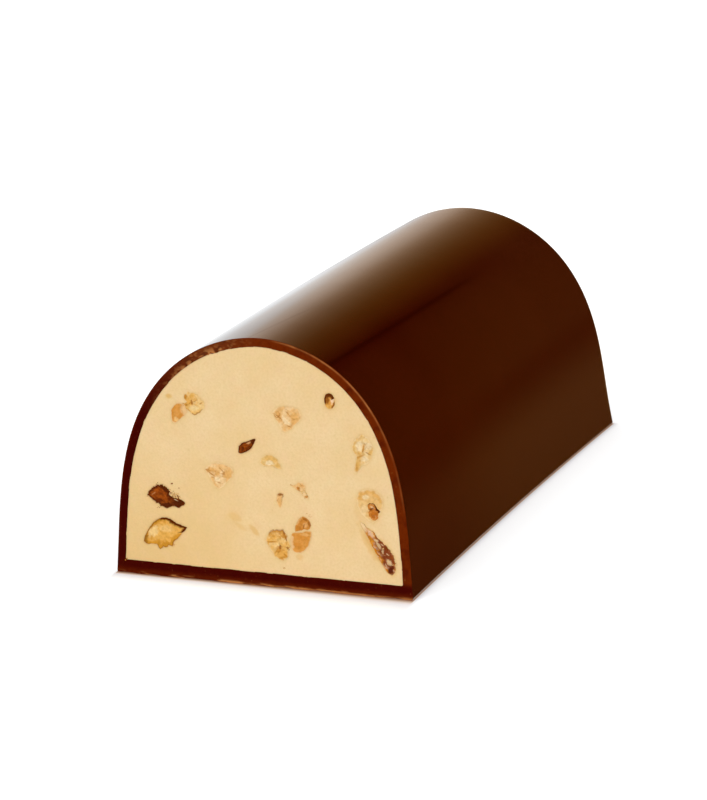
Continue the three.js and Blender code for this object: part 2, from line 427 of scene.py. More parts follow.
class Graph(Nodes):
    """The node tree of a material with a Principled shader."""

    def __init__(self, name: str) -> None:
        """Makes an empty material with an output and a Principled shader.

        Args:
            name: the material's name.
        """
        self.material = bpy.data.materials.new(name)
        self.material.use_nodes = True
        super().__init__(self.material.node_tree)
        self.shader = self.add("ShaderNodeBsdfPrincipled")
        output = self.add("ShaderNodeOutputMaterial")
        self.link(self.shader.outputs[0], output.inputs[0])
        self.position = self.add("ShaderNodeTexCoord").outputs["Object"]

    def stretched(self, scale: tuple[float, float, float]) -> Socket:
        """The object's coordinates, stretched.

        Args:
            scale: what each axis is multiplied by.

        Returns:
            The stretched coordinates.
        """
        mapping = self.add("ShaderNodeMapping")
        mapping.inputs["Scale"].default_value = scale
        self.link(self.position, mapping.inputs["Vector"])
        return mapping.outputs[0]

    def noise(self, size: float, detail: float = 4.0, vector: Socket | None = None) -> Socket:
        """Noise with lumps of about the given size.

        Args:
            size: the size of its lumps in millimetres.
            detail: the number of finer layers.
            vector: the coordinates to use in place of the object's own.

        Returns:
            The noise as a number from 0 to 1.
        """
        node = self.add("ShaderNodeTexNoise")
        node.inputs["Scale"].default_value = 1.0 / (size * MM)
        node.inputs["Detail"].default_value = detail
        self.link(vector or self.position, node.inputs["Vector"])
        return node.outputs["Fac"]

    def steps(self, fac: Socket, low: float, high: float) -> Socket:
        """A number stretched so that low becomes 0 and high becomes 1, and kept between them.

        Args:
            fac: the number.
            low: its value that becomes 0.
            high: its value that becomes 1.

        Returns:
            The stretched number.
        """
        node = self.add("ShaderNodeMapRange")
        node.inputs["From Min"].default_value = low
        node.inputs["From Max"].default_value = high
        self.link(fac, node.inputs["Value"])
        return node.outputs[0]

    def mix(
        self,
        fac: Socket,
        first: Socket | Colour,
        second: Socket | Colour,
        blend: str = "MIX",
    ) -> Socket:
        """A colour between two others.

        Args:
            fac: 0 for the first and 1 for the second.
            first: a colour or a socket that gives one.
            second: a colour or a socket that gives one.
            blend: how the second is laid over the first.

        Returns:
            The mixed colour.
        """
        node = self.add("ShaderNodeMix", data_type="RGBA", blend_type=blend)
        self.link(fac, node.inputs[0])
        for socket, value in ((node.inputs[6], first), (node.inputs[7], second)):
            if isinstance(value, tuple):
                socket.default_value = value
            else:
                self.link(value, socket)
        return node.outputs[2]

    def line(self, name: str, reach: float) -> Socket:
        """1 along a line, fading to 0 at its reach, from the mesh's distance to it and its strength."""
        gap = self.maths("ABSOLUTE", self.pattern(name + "_gap"))
        return self.maths("MULTIPLY", self.steps(gap, reach, 0.0), self.pattern(name + "_strength"))

    def pattern(self, name: str) -> Socket:
        """The number that the mesh holds under a name."""
        return self.add("ShaderNodeAttribute", attribute_name=name).outputs["Fac"]

    def bump(self, height: Socket, depth: float, below: Socket | None = None) -> Socket:
        """Relief from a height.

        Args:
            height: the height, from 0 to 1.
            depth: what a height of 1 stands for, in millimetres.
            below: the relief that this one lies on.

        Returns:
            The bent normal.
        """
        node = self.add("ShaderNodeBump")
        node.inputs["Strength"].default_value = 1.0
        node.inputs["Distance"].default_value = depth * MM
        self.link(height, node.inputs["Height"])
        if below is not None:
            self.link(below, node.inputs["Normal"])
        return node.outputs[0]

    def finish(
        self,
        colour: Socket,
        normal: Socket,
        settings: dict[str, float],
        roughness: Socket | None = None,
    ) -> bpy.types.Material:
        """Wires the shader.

        Args:
            colour: the surface's colour.
            normal: the surface's relief.
            settings: the shader's constant values, by socket name.
            roughness: the roughness, where it varies.

        Returns:
            The material.
        """
        self.link(colour, self.shader.inputs["Base Color"])
        self.link(normal, self.shader.inputs["Normal"])
        for name, value in settings.items():
            self.shader.inputs[name].default_value = value
        if roughness is not None:
            self.link(roughness, self.shader.inputs["Roughness"])
        return self.material


@dataclass(frozen=True)
class MouldedChocolate:
    """Dark chocolate as it leaves a polished mould: smooth, with faint ripples and fine streaks.

    A painted dark reflection line, inside a softer painted dark band, runs along its right, a lighter
    painted reflection lies low on its side and towards its far end, and a crease and the worn stretch
    near the cut shine less.
    """

    deep: Screen = (59, 6, 1)
    light: Screen = (64, 11, 2)
    # Colour of the lighter painted reflection low on the side and towards the far end.
    dull: Screen = (80, 39, 14)
    # Colour of the painted dark reflection line and of the softer painted band round it.
    dark: Screen = (44, 0, 0)
    ripple: float = 9.0
    ripple_depth: float = 0.03
    streak: float = 0.5
    streak_stretch: float = 0.12
    streak_depth: float = 0.0012
    # Widths of the painted dark reflection line and of the softer painted band round it, and that band's
    # strength.
    reflection_line_width: float = 0.5
    reflection_halo_width: float = 2.0
    reflection_halo_strength: float = 0.3
    crease_width: float = 0.45
    crease_strength: float = 0.55
    specular: float = 0.5
    rough: float = 0.06
    far_rough: float = 0.19

    def material(self) -> bpy.types.Material:
        """Makes the material of the moulded outside.

        Returns:
            The material.
        """
        graph = Graph("moulded_chocolate")
        dark = linear(*self.dark)
        tone = graph.steps(graph.noise(14.0, 3.0), 0.35, 0.65)
        body = graph.mix(tone, linear(*self.deep), linear(*self.light))
        # Painted reflection: lighter grey-brown low on the side and towards the far end.
        reflection_tinted = graph.mix(graph.pattern("reflection_tint"), body, linear(*self.dull))
        # Painted reflection: a dark line along the right, inside a softer painted dark band.
        reflection_halo = graph.times(graph.line("seam", self.reflection_halo_width), self.reflection_halo_strength)
        colour = graph.mix(graph.line("seam", self.reflection_line_width), graph.mix(reflection_halo, reflection_tinted, dark), dark)
        ripples = graph.bump(graph.noise(self.ripple, 1.0), self.ripple_depth)
        along = graph.stretched((1.0, self.streak_stretch, 1.0))
        streaks = graph.bump(graph.noise(self.streak, 2.0, along), self.streak_depth, ripples)
        crease = graph.times(graph.line("crease", self.crease_width), self.crease_strength)
        dulled = graph.maths("MAXIMUM", crease, graph.pattern("worn"))
        sheen = graph.maths("ADD", graph.times(dulled, -self.specular), self.specular)
        graph.link(sheen, graph.shader.inputs["Specular IOR Level"])
        rough = graph.times(graph.noise(5.0, 5.0), self.rough)
        far = graph.times(graph.pattern("far"), self.far_rough)
        return graph.finish(colour, streaks, {"IOR": 1.46}, graph.maths("ADD", rough, far))


@dataclass(frozen=True)
class CutChocolate:
    """Dark chocolate where the knife went through: dull, redder, with pale flecks and drag marks."""

    deep: Screen = (71, 9, 3)
    light: Screen = (108, 38, 4)
    # Pale flecks; the same colour also makes the painted highlight along the rim's outer edge on the right.
    fleck: Screen = (204, 134, 74)
    shade: Screen = (61, 5, 3)

    def material(self) -> bpy.types.Material:
        """Makes the material of the cut rim.

        Returns:
            The material.
        """
        graph = Graph("cut_chocolate")
        tone = graph.steps(graph.noise(1.3, 5.0), 0.35, 0.8)
        body = graph.mix(graph.times(tone, 0.25), linear(*self.deep), linear(*self.light))
        lit = graph.mix(graph.pattern("warm"), body, linear(*self.light))
        shaded = graph.mix(graph.pattern("shade"), lit, linear(*self.shade))
        mottle = graph.steps(graph.noise(0.5, 4.0), 0.45, 0.75)
        mottled = graph.mix(graph.times(mottle, 0.3), shaded, linear(*self.shade))
        specks = graph.steps(graph.noise(0.35, 3.0), 0.68, 0.8)
        speckled = graph.mix(graph.times(specks, 0.25), mottled, linear(*self.fleck))
        # The fleck pattern holds real pale flecks and a painted highlight along the rim's outer edge.
        colour = graph.mix(graph.pattern("fleck"), speckled, linear(*self.fleck))
        drag = graph.bump(graph.noise(0.8, 4.0, graph.stretched((1.0, 1.0, 0.25))), 0.05)
        relief = graph.bump(graph.noise(0.25, 4.0), 0.02, drag)
        return graph.finish(colour, relief, {"Roughness": 0.6, "IOR": 1.46, "Specular IOR Level": 0.0})


@dataclass(frozen=True)
class CutNougat:
    """Pale honey nougat, cut: dense and fine grained, oily and darker round the nuts."""

    pale: Screen = (242, 212, 162)
    warm: Screen = (234, 198, 136)
    blush: Screen = (240, 202, 156)
    stain: Screen = (230, 184, 112)
    speck: Screen = (222, 188, 130)
    smear: Screen = (176, 104, 48)
    milk: Screen = (250, 228, 178)

    def material(self) -> bpy.types.Material:
        """Makes the material of the nougat.

        Returns:
            The material.
        """
        graph = Graph("cut_nougat")
        patches = graph.steps(graph.noise(5.0, 4.0), 0.34, 0.66)
        body = graph.mix(graph.times(patches, 0.5), linear(*self.pale), linear(*self.warm))
        warmed = graph.mix(graph.pattern("warm"), body, linear(*self.warm))
        blush = graph.steps(graph.noise(2.2, 5.0), 0.5, 0.75)
        blushed = graph.mix(graph.times(blush, 0.4), warmed, linear(*self.blush))
        milky = graph.mix(graph.pattern("milk"), blushed, linear(*self.milk))
        stained = graph.mix(graph.pattern("stain"), milky, linear(*self.stain))
        grains = graph.steps(graph.noise(0.32, 4.0), 0.4, 0.72)
        smeared = graph.mix(graph.pattern("smear"), stained, linear(*self.smear))
        grained = graph.mix(graph.times(grains, 0.3), smeared, linear(*self.speck))
        pores = graph.steps(graph.noise(0.75, 2.0), 0.7, 0.78)
        colour = graph.mix(graph.times(pores, 0.45), grained, linear(*self.speck))
        lumps = graph.bump(graph.noise(1.3, 4.0), 0.09)
        grain = graph.bump(graph.noise(0.24, 4.0), 0.035, lumps)
        settings = {
            "Roughness": 0.7, "IOR": 1.4, "Specular IOR Level": 0.12,
            "Subsurface Weight": 0.15, "Subsurface Scale": 0.6 * MM,
        }
        return graph.finish(colour, grain, settings)


@dataclass(frozen=True)
class NutFinish:
    """A cut nut: two kernel tones, creamy flakes, brown veins, dark skin, and nougat over its edge.

    The mesh holds how much of each there is at a vertex: tone, pale, vein, skin and buried. The vein
    colour is brown veins, and on broken flakes it is also painted shade in the cracks on their shadowed
    side. The nut's oil stains the nougat round it, and a dark nut smears it.
    """

    name: str
    body: Screen
    other: Screen
    pale: Screen
    # Colour of brown veins and of the painted shade in cracks.
    vein_and_shade: Screen
    skin: Screen
    gloss: float = 0.5
    oil: float = 0.35
    dark: float = 0.0

    def material(self) -> bpy.types.Material:
        """Makes the material of this kind of nut, or finds the one made before.

        Returns:
            The material.
        """
        made = bpy.data.materials.get(self.name)
        if made is not None:
            return made
        graph = Graph(self.name)
        tones = graph.mix(graph.pattern("tone"), linear(*self.body), linear(*self.other))
        patched = graph.mix(graph.pattern("pale"), tones, linear(*self.pale))
        veined_and_shaded = graph.mix(graph.pattern("vein_and_shade"), patched, linear(*self.vein_and_shade))
        skinned = graph.mix(graph.pattern("skin"), veined_and_shaded, linear(*self.skin))
        grain = graph.noise(0.3, 4.0)
        speckle = graph.ramp(grain, [(0.35, (0.86, 0.82, 0.76, 1.0)), (0.6, (1.0, 1.0, 1.0, 1.0))])
        speckled = graph.mix(graph.steps(grain, 0.0, 0.1), skinned, speckle, "MULTIPLY")
        colour = graph.mix(graph.pattern("buried"), speckled, linear(*CutNougat.pale))
        relief = graph.bump(graph.noise(0.16, 4.0), 0.02)
        settings = {"Roughness": self.gloss, "IOR": 1.45, "Specular IOR Level": 0.02}
        return graph.finish(colour, relief, settings)


class NutKind(Enum):
    """The kinds of nut in the cut, by how they are finished."""

    ROASTED = NutFinish(
        "cut_roasted_nut", (176, 86, 20), (106, 42, 8), (230, 174, 114), (76, 30, 6), (88, 36, 8), 0.35,
        dark=0.7,
    )
    ALMOND = NutFinish(
        "cut_almond_kernel", (244, 190, 100), (214, 150, 50), (248, 212, 144), (158, 104, 34),
        (98, 40, 6),
        dark=0.5,
    )
    TAN = NutFinish(
        "cut_tan_nut", (228, 164, 84), (218, 146, 62), (242, 194, 124), (190, 118, 50), (140, 74, 26)
    )
    HALF = NutFinish(
        "cut_nut_half", (222, 154, 74), (204, 130, 48), (238, 188, 122), (166, 98, 36), (122, 64, 20)
    )
    TOASTED = NutFinish(
        "cut_toasted_nut", (206, 128, 40), (232, 174, 88), (244, 208, 168), (142, 74, 20),
        (106, 50, 10),
        oil=0.7,
    )
    BROWN = NutFinish(
        "cut_brown_nut", (220, 146, 66), (198, 114, 36), (246, 218, 168), (158, 84, 28), (96, 40, 12),
        oil=0.6,
    )
    CRISP = NutFinish(
        "cut_nut_crisp", (242, 200, 124), (234, 176, 88), (250, 224, 168), (202, 136, 50), (162, 96, 30)
    )
    CREAM_CRISP = NutFinish(
        "cut_cream_crisp", (244, 202, 142), (234, 178, 104), (250, 224, 178), (200, 136, 64),
        (160, 98, 42)
    )
    PALE_CRISP = NutFinish(
        "cut_pale_crisp", (242, 208, 146), (232, 182, 102), (248, 224, 180), (206, 144, 62),
        (170, 104, 38)
    )
    SLIVER = NutFinish(
        "cut_almond_sliver", (230, 154, 52), (214, 132, 34), (246, 208, 174), (146, 70, 36),
        (100, 40, 20), 0.3,
        oil=0.9,
    )
    STAINED = NutFinish(
        "cut_caramel_crisp", (240, 202, 140), (232, 178, 100), (246, 218, 168), (204, 140, 72),
        (160, 92, 40),
        oil=0.5,
    )


class Layer(Enum):
    """The layers of colour on a nut, from the lowest to the one that lies over all others."""

    TONE = "tone"
    PALE = "pale"
    # Brown veins, and painted shade in the cracks of broken flakes.
    VEIN_AND_SHADE = "vein_and_shade"
    SKIN = "skin"
    BURIED = "buried"


@dataclass(frozen=True)
class Patch:
    """A patch of one colour layer: where it lies, its two radii, its tilt and its strength."""

    layer: Layer
    at: Pair
    size: Pair
    tilt: float = 0.0
    strength: float = 1.0

    def over(self, points: np.ndarray, noise: np.ndarray) -> np.ndarray:
        """How strongly the patch covers each point: full inside its radii, fading out past them.

        Args:
            points: X and Z of the points.
            noise: noise from -1 to 1 at the points, which makes the patch ragged.

        Returns:
            The cover of each point, from 0 to 1.
        """
        turn = math.radians(self.tilt)
        offset = points - np.array(self.at)
        along = offset[..., 0] * math.cos(turn) + offset[..., 1] * math.sin(turn)
        across = offset[..., 1] * math.cos(turn) - offset[..., 0] * math.sin(turn)
        far = np.hypot(along / self.size[0], across / self.size[1])
        return self.strength * (1.0 - smoothstep(0.55, 1.3, far + 0.45 * noise))


@dataclass(frozen=True)
class EdgeLine:
    """A line of one colour layer along part of a piece's edge, from its start to its end angle."""

    layer: Layer
    start: float
    end: float
    width: float
    end_width: float
    strength: float = 1.0

    def over(self, degrees: np.ndarray, inward: np.ndarray, noise: np.ndarray) -> np.ndarray:
        """How strongly the line covers each point: full at the edge, fading out past its width.

        Args:
            degrees: the angle of each point round the piece.
            inward: how far each point lies inside the edge.
            noise: noise from -1 to 1 at the points, which makes the line ragged.

        Returns:
            The cover of each point, from 0 to 1.
        """
        span = self.end - self.start
        along = ((degrees - self.start) % 360.0) / span
        width = self.width + (self.end_width - self.width) * np.clip(along, 0.0, 1.0)
        ends = smoothstep(1.08, 0.96, along) if span < 360.0 else 1.0
        ragged = np.maximum(0.03, width * (1.0 + 0.4 * noise))
        return self.strength * (1.0 - smoothstep(0.5, 1.3, inward / ragged)) * ends


@dataclass(frozen=True)
class Crumble:
    """How a nut has broken: flakes of a size and a direction, their cracks and how craggy they are."""

    flake: float
    stretch: float = 1.6
    tilt: float = 0.0
    warp: float = 0.5
    relief: float = 0.1
    cracks: float = 0.5
    pale: float = 0.3
    mottle: float = 0.5


class Texture(Enum):
    """The ways that the nuts of the cut have broken."""

    CRISP = Crumble(0.85, 1.6, 35.0, 0.9, 0.09, 0.9, 0.5, 0.7)
    SMOOTH = Crumble(1.4, 1.3, 20.0, 0.5, 0.04, 0.1, 0.0, 0.3)
    WAXY = Crumble(1.7, 2.2, 35.0, 0.5, 0.05, 0.0, 0.15, 0.4)
    CHARRED = Crumble(0.55, 1.8, -35.0, 0.8, 0.1, 0.5, 0.0, 1.0)
    FRAYED = Crumble(0.24, 1.8, -58.0, 0.9, 0.12, 0.6, 0.7, 0.9)
    CRUMB = Crumble(0.5, 1.4, 60.0, 0.6, 0.08, 0.7, 0.3, 0.6)


@dataclass(frozen=True)
class NutPiece:
    """A chopped nut in the cut: a ragged outline and a broken face, tapering back into the nougat."""

    node: str
    kind: NutKind
    texture: Texture
    depth: float
    middle: Pair
    outline: tuple[Pair, ...]
    marks: tuple[EdgeLine | Patch, ...] = ()
    ragged: float = 0.05
    grit: float = 3.0
    soft: float = 0.0
    proud: float = 0.03
    edge_lift: float = 0.02
    edge_tone: float = 0.0
    seed: int = 0
    around: int = 150
    face_rings: int = 28
    back_rings: int = 8

    def reach(self) -> np.ndarray:
        """How far the edge lies from the middle in each direction.

        It is where a ray from the middle last crosses the outline's sides, with layered noise for
        the raggedness and with its corners slightly rounded.

        Returns:
            One length for each direction.
        """
        turn = np.linspace(0.0, 2 * np.pi, self.around, endpoint=False)
        ray = np.stack([np.cos(turn), np.sin(turn)], axis=-1)[:, None, :]
        start = np.array(self.outline)[None] - np.array(self.middle)
        side = np.roll(start, -1, axis=1) - start
        cross = ray[..., 0] * side[..., 1] - ray[..., 1] * side[..., 0]
        cross = np.where(np.abs(cross) < 1e-9, 1e-9, cross)
        far = (start[..., 0] * side[..., 1] - start[..., 1] * side[..., 0]) / cross
        share = (start[..., 0] * ray[..., 1] - start[..., 1] * ray[..., 0]) / cross
        hit = (share >= -1e-6) & (share <= 1.0 + 1e-6) & (far > 0.0)
        edge = np.max(np.where(hit, far, 0.05), axis=1)
        edge = 0.5 * edge + 0.25 * (np.roll(edge, 1) + np.roll(edge, -1)) + 0.4 * self.soft
        rim = np.array(self.middle) + ray[:, 0] * edge[:, None]
        noise = Grain(self.seed).layered(rim * self.grit, 3)
        return np.maximum(0.12, edge + self.ragged * math.sqrt(edge.mean()) * noise)

    def build(self, form: LoafForm) -> bpy.types.Object:
        """Makes the piece and says which solid it stands for.

        Args:
            form: the loaf's form, whose frame the piece lies in.

        Returns:
            The piece's object.
        """
        turn = np.linspace(0.0, 2 * np.pi, self.around, endpoint=False)
        ray = np.stack([np.cos(turn), np.sin(turn)], axis=-1)
        reach = self.reach()
        share = np.append(np.linspace(0.0, 1.0, self.face_rings)[1:-1], (0.988, 1.0))
        face = np.array(self.middle) + ray[None] * (reach[None, :, None] * share[:, None, None])
        layers, height = self._broken(face, share[:, None])
        inward = reach[None] * (1.0 - share[:, None])
        degrees = np.degrees(turn)[None]
        noise = Grain(self.seed + 3).layered(face * 3.2, 3)
        for mark in self.marks:
            place = (degrees, inward, noise) if isinstance(mark, EdgeLine) else (face, noise)
            layers[mark.layer] = np.maximum(layers[mark.layer], mark.over(*place))
        inner = 1.0 - share[:, None] ** 4
        lift = self.edge_lift + self.proud * inner + height * inner
        front = np.stack([face[..., 0], -lift, face[..., 1]], axis=-1)
        rings = np.concatenate([front, self._back(ray, reach)])
        poles = np.array([front[0].mean(axis=0), rings[-1].mean(axis=0) + (0.0, 0.02, 0.0)])
        mesh = closed_skin(self.node, form.to_frame(rings), form.to_frame(poles))
        for layer, values in layers.items():
            behind = np.repeat(values[-1:], self.back_rings, axis=0)
            ends = [values[0].mean(), values[-1].mean()]
            add_pattern(mesh, layer.value, np.concatenate([values.ravel(), behind.ravel(), ends]))
        return dressed(self.node, mesh, [self.kind.value.material()], self.node)

    def _back(self, ray: np.ndarray, reach: np.ndarray) -> np.ndarray:
        """The rings behind the cut, where the outline shrinks as sqrt(1 - u^2) to its hidden tip.

        Args:
            ray: the directions round the middle.
            reach: how far the edge lies in each.

        Returns:
            The rings, from the edge to the tip.
        """
        share = np.linspace(0.0, 1.0, self.back_rings + 1)[1:, None]
        size = np.maximum(0.3, np.sqrt(1.0 - share * share))
        flat = np.array(self.middle) + ray[None] * (reach[None] * size)[..., None]
        y = np.broadcast_to(0.05 + (self.depth - 0.05) * share, flat.shape[:2])
        return np.stack([flat[..., 0], y, flat[..., 1]], axis=-1)

    def _broken(self, face: np.ndarray, share: np.ndarray) -> tuple[dict[Layer, np.ndarray], np.ndarray]:
        """The broken face: stretched flakes on warped coordinates, each tipped its own way.

        Args:
            face: X and Z of the face's points.
            share: how far out each ring lies, from 0 to 1.

        Returns:
            The colour layers and the height of each point.
        """
        way = self.texture.value
        turn = math.radians(way.tilt)
        fine = face / way.flake
        pushed = fine + way.warp * np.stack(
            [Grain(self.seed + salt).layered(fine * 0.9, 3) for salt in (11, 12)], axis=-1
        )
        along = (pushed[..., 0] * math.cos(turn) + pushed[..., 1] * math.sin(turn)) / way.stretch
        across = pushed[..., 1] * math.cos(turn) - pushed[..., 0] * math.sin(turn)
        flake = Grain(self.seed + 13).flakes(np.stack([along, across], axis=-1))
        lumps = Grain(self.seed + 14).layered(fine * 1.8, 3)
        stroke = smoothstep(-0.05, 0.4, Grain(self.seed + 16).layered(face * 1.4, 3))
        rim = (1.0 - smoothstep(0.0, 0.25, flake.edge)) * stroke
        height = way.relief * (flake.shade - 0.5 + flake.slope + 0.5 * lumps - 0.3 * way.cracks * rim)
        # Which side of each flake lies in shade; the vein layer below paints dark crack lines there as
        # painted shade.
        shadowed = smoothstep(0.3, -0.1, flake.slope + 0.6 * lumps)
        mottle = Grain(self.seed + 15).layered(face * 2.2, 4)
        tone = 0.5 + 0.5 * (flake.shade - 0.5) + 0.9 * way.mottle * mottle
        edge = smoothstep(0.45, 0.95, share + 0.15 * mottle)
        creamy = way.pale * smoothstep(0.35, 0.75, 0.7 * flake.other + 0.35 * lumps + 0.3 * mottle)
        drowned = smoothstep(1.0 - 0.5 * self.soft, 1.02, share + 0.4 * self.soft * mottle)
        soft = drowned * min(1.0, 4 * self.soft)
        layers = {
            Layer.TONE: np.clip(tone + self.edge_tone * edge, 0.0, 1.0),
            Layer.PALE: np.clip(creamy, 0.0, 1.0),
            Layer.VEIN_AND_SHADE: np.clip(way.cracks * rim * shadowed, 0.0, 1.0),
            Layer.SKIN: np.zeros(face.shape[:2]),
            Layer.BURIED: 0.8 * soft,
        }
        return layers, height


def dressed(
    name: str, mesh: bpy.types.Mesh, materials: list[bpy.types.Material], node: str, extra: bool = False
) -> bpy.types.Object:
    """Puts a finished mesh into the scene as a piece that rides on the bar.

    Args:
        name: the piece's name, to which _look is added.
        mesh: its mesh.
        materials: its materials, in slot order.
        node: the solid whose finish it has, and which it stands for unless it is extra.
        extra: whether it is added detail that stands for no solid.

    Returns:
        The piece's object.
    """
    piece = bpy.data.objects.new(f"{name}_look", mesh)
    bpy.context.scene.collection.objects.link(piece)
    for material in materials:
        mesh.materials.append(material)
    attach(piece, BODY)
    if not extra:
        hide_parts(node)
    log.info("%s: %d faces", piece.name, len(mesh.polygons))
    return piece


@dataclass(frozen=True)
class Chip:
    """A chip out of the base's lower front edge: its middle, width and height."""

    at: float
    width: float
    height: float


@dataclass(frozen=True)
class ChocolateShell:
    """The chocolate round the nougat: moulded outside, cut rim, and the walls behind the nougat."""

    form: LoafForm
    wall: float = 1.15
    base: float = 1.8
    end_wall: float = 1.5
    corner: float = 0.28
    inner_corner: float = 0.2
    edge_round: float = 0.07
    chip_depth: float = 0.6
    chips: tuple[Chip, ...] = (
        Chip(-18.6, 2.6, 0.25), Chip(-14.8, 1.8, 0.2), Chip(-9.0, 5.0, 0.14),
        Chip(3.0, 2.4, 0.14), Chip(8.0, 3.2, 0.16), Chip(17.4, 3.0, 0.2),
    )
    body_steps: int = 70
    rim_steps: int = 16
    shoulder_steps: int = 18
    face_steps: int = 12
    inner_steps: int = 16

    def build(self) -> bpy.types.Object:
        """Makes the shell as one closed skin that starts and ends at poles on its closed end.

        Returns:
            The shell's object.
        """
        form = self.form
        outer = form.outline(0.0, 0.0, self.corner)
        inner = self._inner_outline()
        end = form.length
        inner_end = end - self.end_wall
        blocks = [
            self._end_face(inner, inner_end, inward=False),
            self._walls(inner, np.linspace(inner_end, 0.0, self.inner_steps)[1:-1], inner_end),
            self._rim(inner, outer),
            self._walls(outer, self._stations(), end),
            self._end_face(outer, end, inward=True),
        ]
        rings = self._chipped(np.concatenate(blocks))
        poles = np.array([rings[0].mean(axis=0), rings[-1].mean(axis=0)])
        mesh = closed_skin("chocolate_coating", form.to_frame(rings), form.to_frame(poles))
        rim_start = len(blocks[0]) + len(blocks[1])
        self._finish(mesh, rings, poles, rim_start, rim_start + len(blocks[2]))
        materials = [MouldedChocolate().material(), CutChocolate().material()]
        return dressed("chocolate_coating", mesh, materials, "chocolate_coating")

    def _inner_outline(self) -> np.ndarray:
        """The rim's inner edge, slightly uneven, and ragged where the knife dragged chocolate in.

        Returns:
            X and Z of the edge's points.
        """
        inner = self.form.outline(self.wall, self.base, self.inner_corner)
        middle = np.array([0.0, self.form.height / 2])
        away = inner - middle
        away /= np.linalg.norm(away, axis=-1, keepdims=True)
        torn = np.exp(-(((inner[:, 0] + 5.0) / 2.6) ** 2)) * (inner[:, 1] > self.form.height / 2)
        dragged = torn * np.abs(Grain(22).layered(inner * 1.7, 3))
        uneven = 0.03 * Grain(21).layered(inner * 0.9, 3) - 0.16 * dragged
        return inner + away * uneven[:, None]

    def _stations(self) -> np.ndarray:
        """Places along the outside, closely spaced behind the cut and round the end shoulder.

        Returns:
            The places, from the cut to the closed end.
        """
        near = np.array([0.1, 0.2, 0.32, 0.46, 0.62, 0.8, 1.1])
        bend = self.form.length - self.form.end_radius
        body = np.linspace(1.6, bend, self.body_steps)
        turn = np.linspace(0.0, np.pi / 2, self.shoulder_steps + 1)[1:]
        return np.concatenate([near, body, bend + self.form.end_radius * np.sin(turn)])

    def _walls(self, outline: np.ndarray, stations: np.ndarray, end: float) -> np.ndarray:
        """Rings of an outline at the given places along the loaf."""
        flat = np.broadcast_to(outline, (len(stations),) + outline.shape)
        return self.form.place(flat, stations[:, None], end)

    def _end_face(self, outline: np.ndarray, end: float, inward: bool) -> np.ndarray:
        """Rings over a closed end, shrinking to its middle or growing from it.

        Args:
            outline: the section's outline.
            end: where the closed end lies.
            inward: whether the rings shrink, or else grow.

        Returns:
            The rings.
        """
        sizes = np.linspace(1.0, 0.0, self.face_steps + 1)[1:-1, None, None]
        edge = self.form.place(outline[None], np.full((1, len(outline)), end), end)
        middle = edge.mean(axis=1, keepdims=True)
        rings = middle + (edge - middle) * sizes
        return rings if inward else np.concatenate([rings[::-1], edge])

    def _rim(self, inner: np.ndarray, outer: np.ndarray) -> np.ndarray:
        """The cut rim from its inner edge to its slightly rounded outer edge, with knife relief.

        Args:
            inner: X and Z of the inner edge.
            outer: those of the outer edge.

        Returns:
            The rings, from the inner edge out.
        """
        share = np.linspace(0.0, 1.0, self.rim_steps + 1)
        share = np.insert(share - 0.06 * np.sin(2 * np.pi * share), 1, 0.008)
        flat = inner[None] + (outer - inner)[None] * share[:, None, None]
        edge = (1.0 - share) * self.wall
        rounding = self.edge_round * (1.0 - smoothstep(0.0, self.edge_round * 1.5, edge)) ** 2
        relief = 0.03 * Grain(31).layered(flat * 0.8, 4)
        y = rounding[:, None] + relief
        return np.stack([flat[..., 0], y, flat[..., 1]], axis=-1)

    def _chipped(self, rings: np.ndarray) -> np.ndarray:
        """Pushes the lower front edge back to the rounded hollow that each chip left.

        Args:
            rings: the shell's rings.

        Returns:
            The rings with the chips out of them.
        """
        x, y, z = rings[..., 0], rings[..., 1], rings[..., 2]
        ragged = 1.0 + 0.5 * Grain(41).layered(np.stack([x * 1.8, z * 0.0], axis=-1), 3)
        near = (y < self.chip_depth * 1.6) & (z < 1.0)
        for chip in self.chips:
            across = np.clip(1.0 - (2.0 * (x - chip.at) / chip.width) ** 2, 0.0, 1.0)
            height = chip.height * ragged * np.sqrt(across)
            depth = self.chip_depth * ragged * np.sqrt(across)
            reach = np.hypot(np.maximum(y, 0.0) / np.maximum(depth, 1e-6), z / np.maximum(height, 1e-6))
            inside = near & (across > 0.0) & (reach < 1.0)
            grow = np.where(inside, 1.0 / np.maximum(reach, 0.35), 1.0)
            y = np.where(inside, np.maximum(y, 0.0) * grow, y)
            z = np.where(inside, z * grow + height * np.clip(0.35 - reach, 0.0, 1.0), z)
        return np.stack([x, y, z], axis=-1)

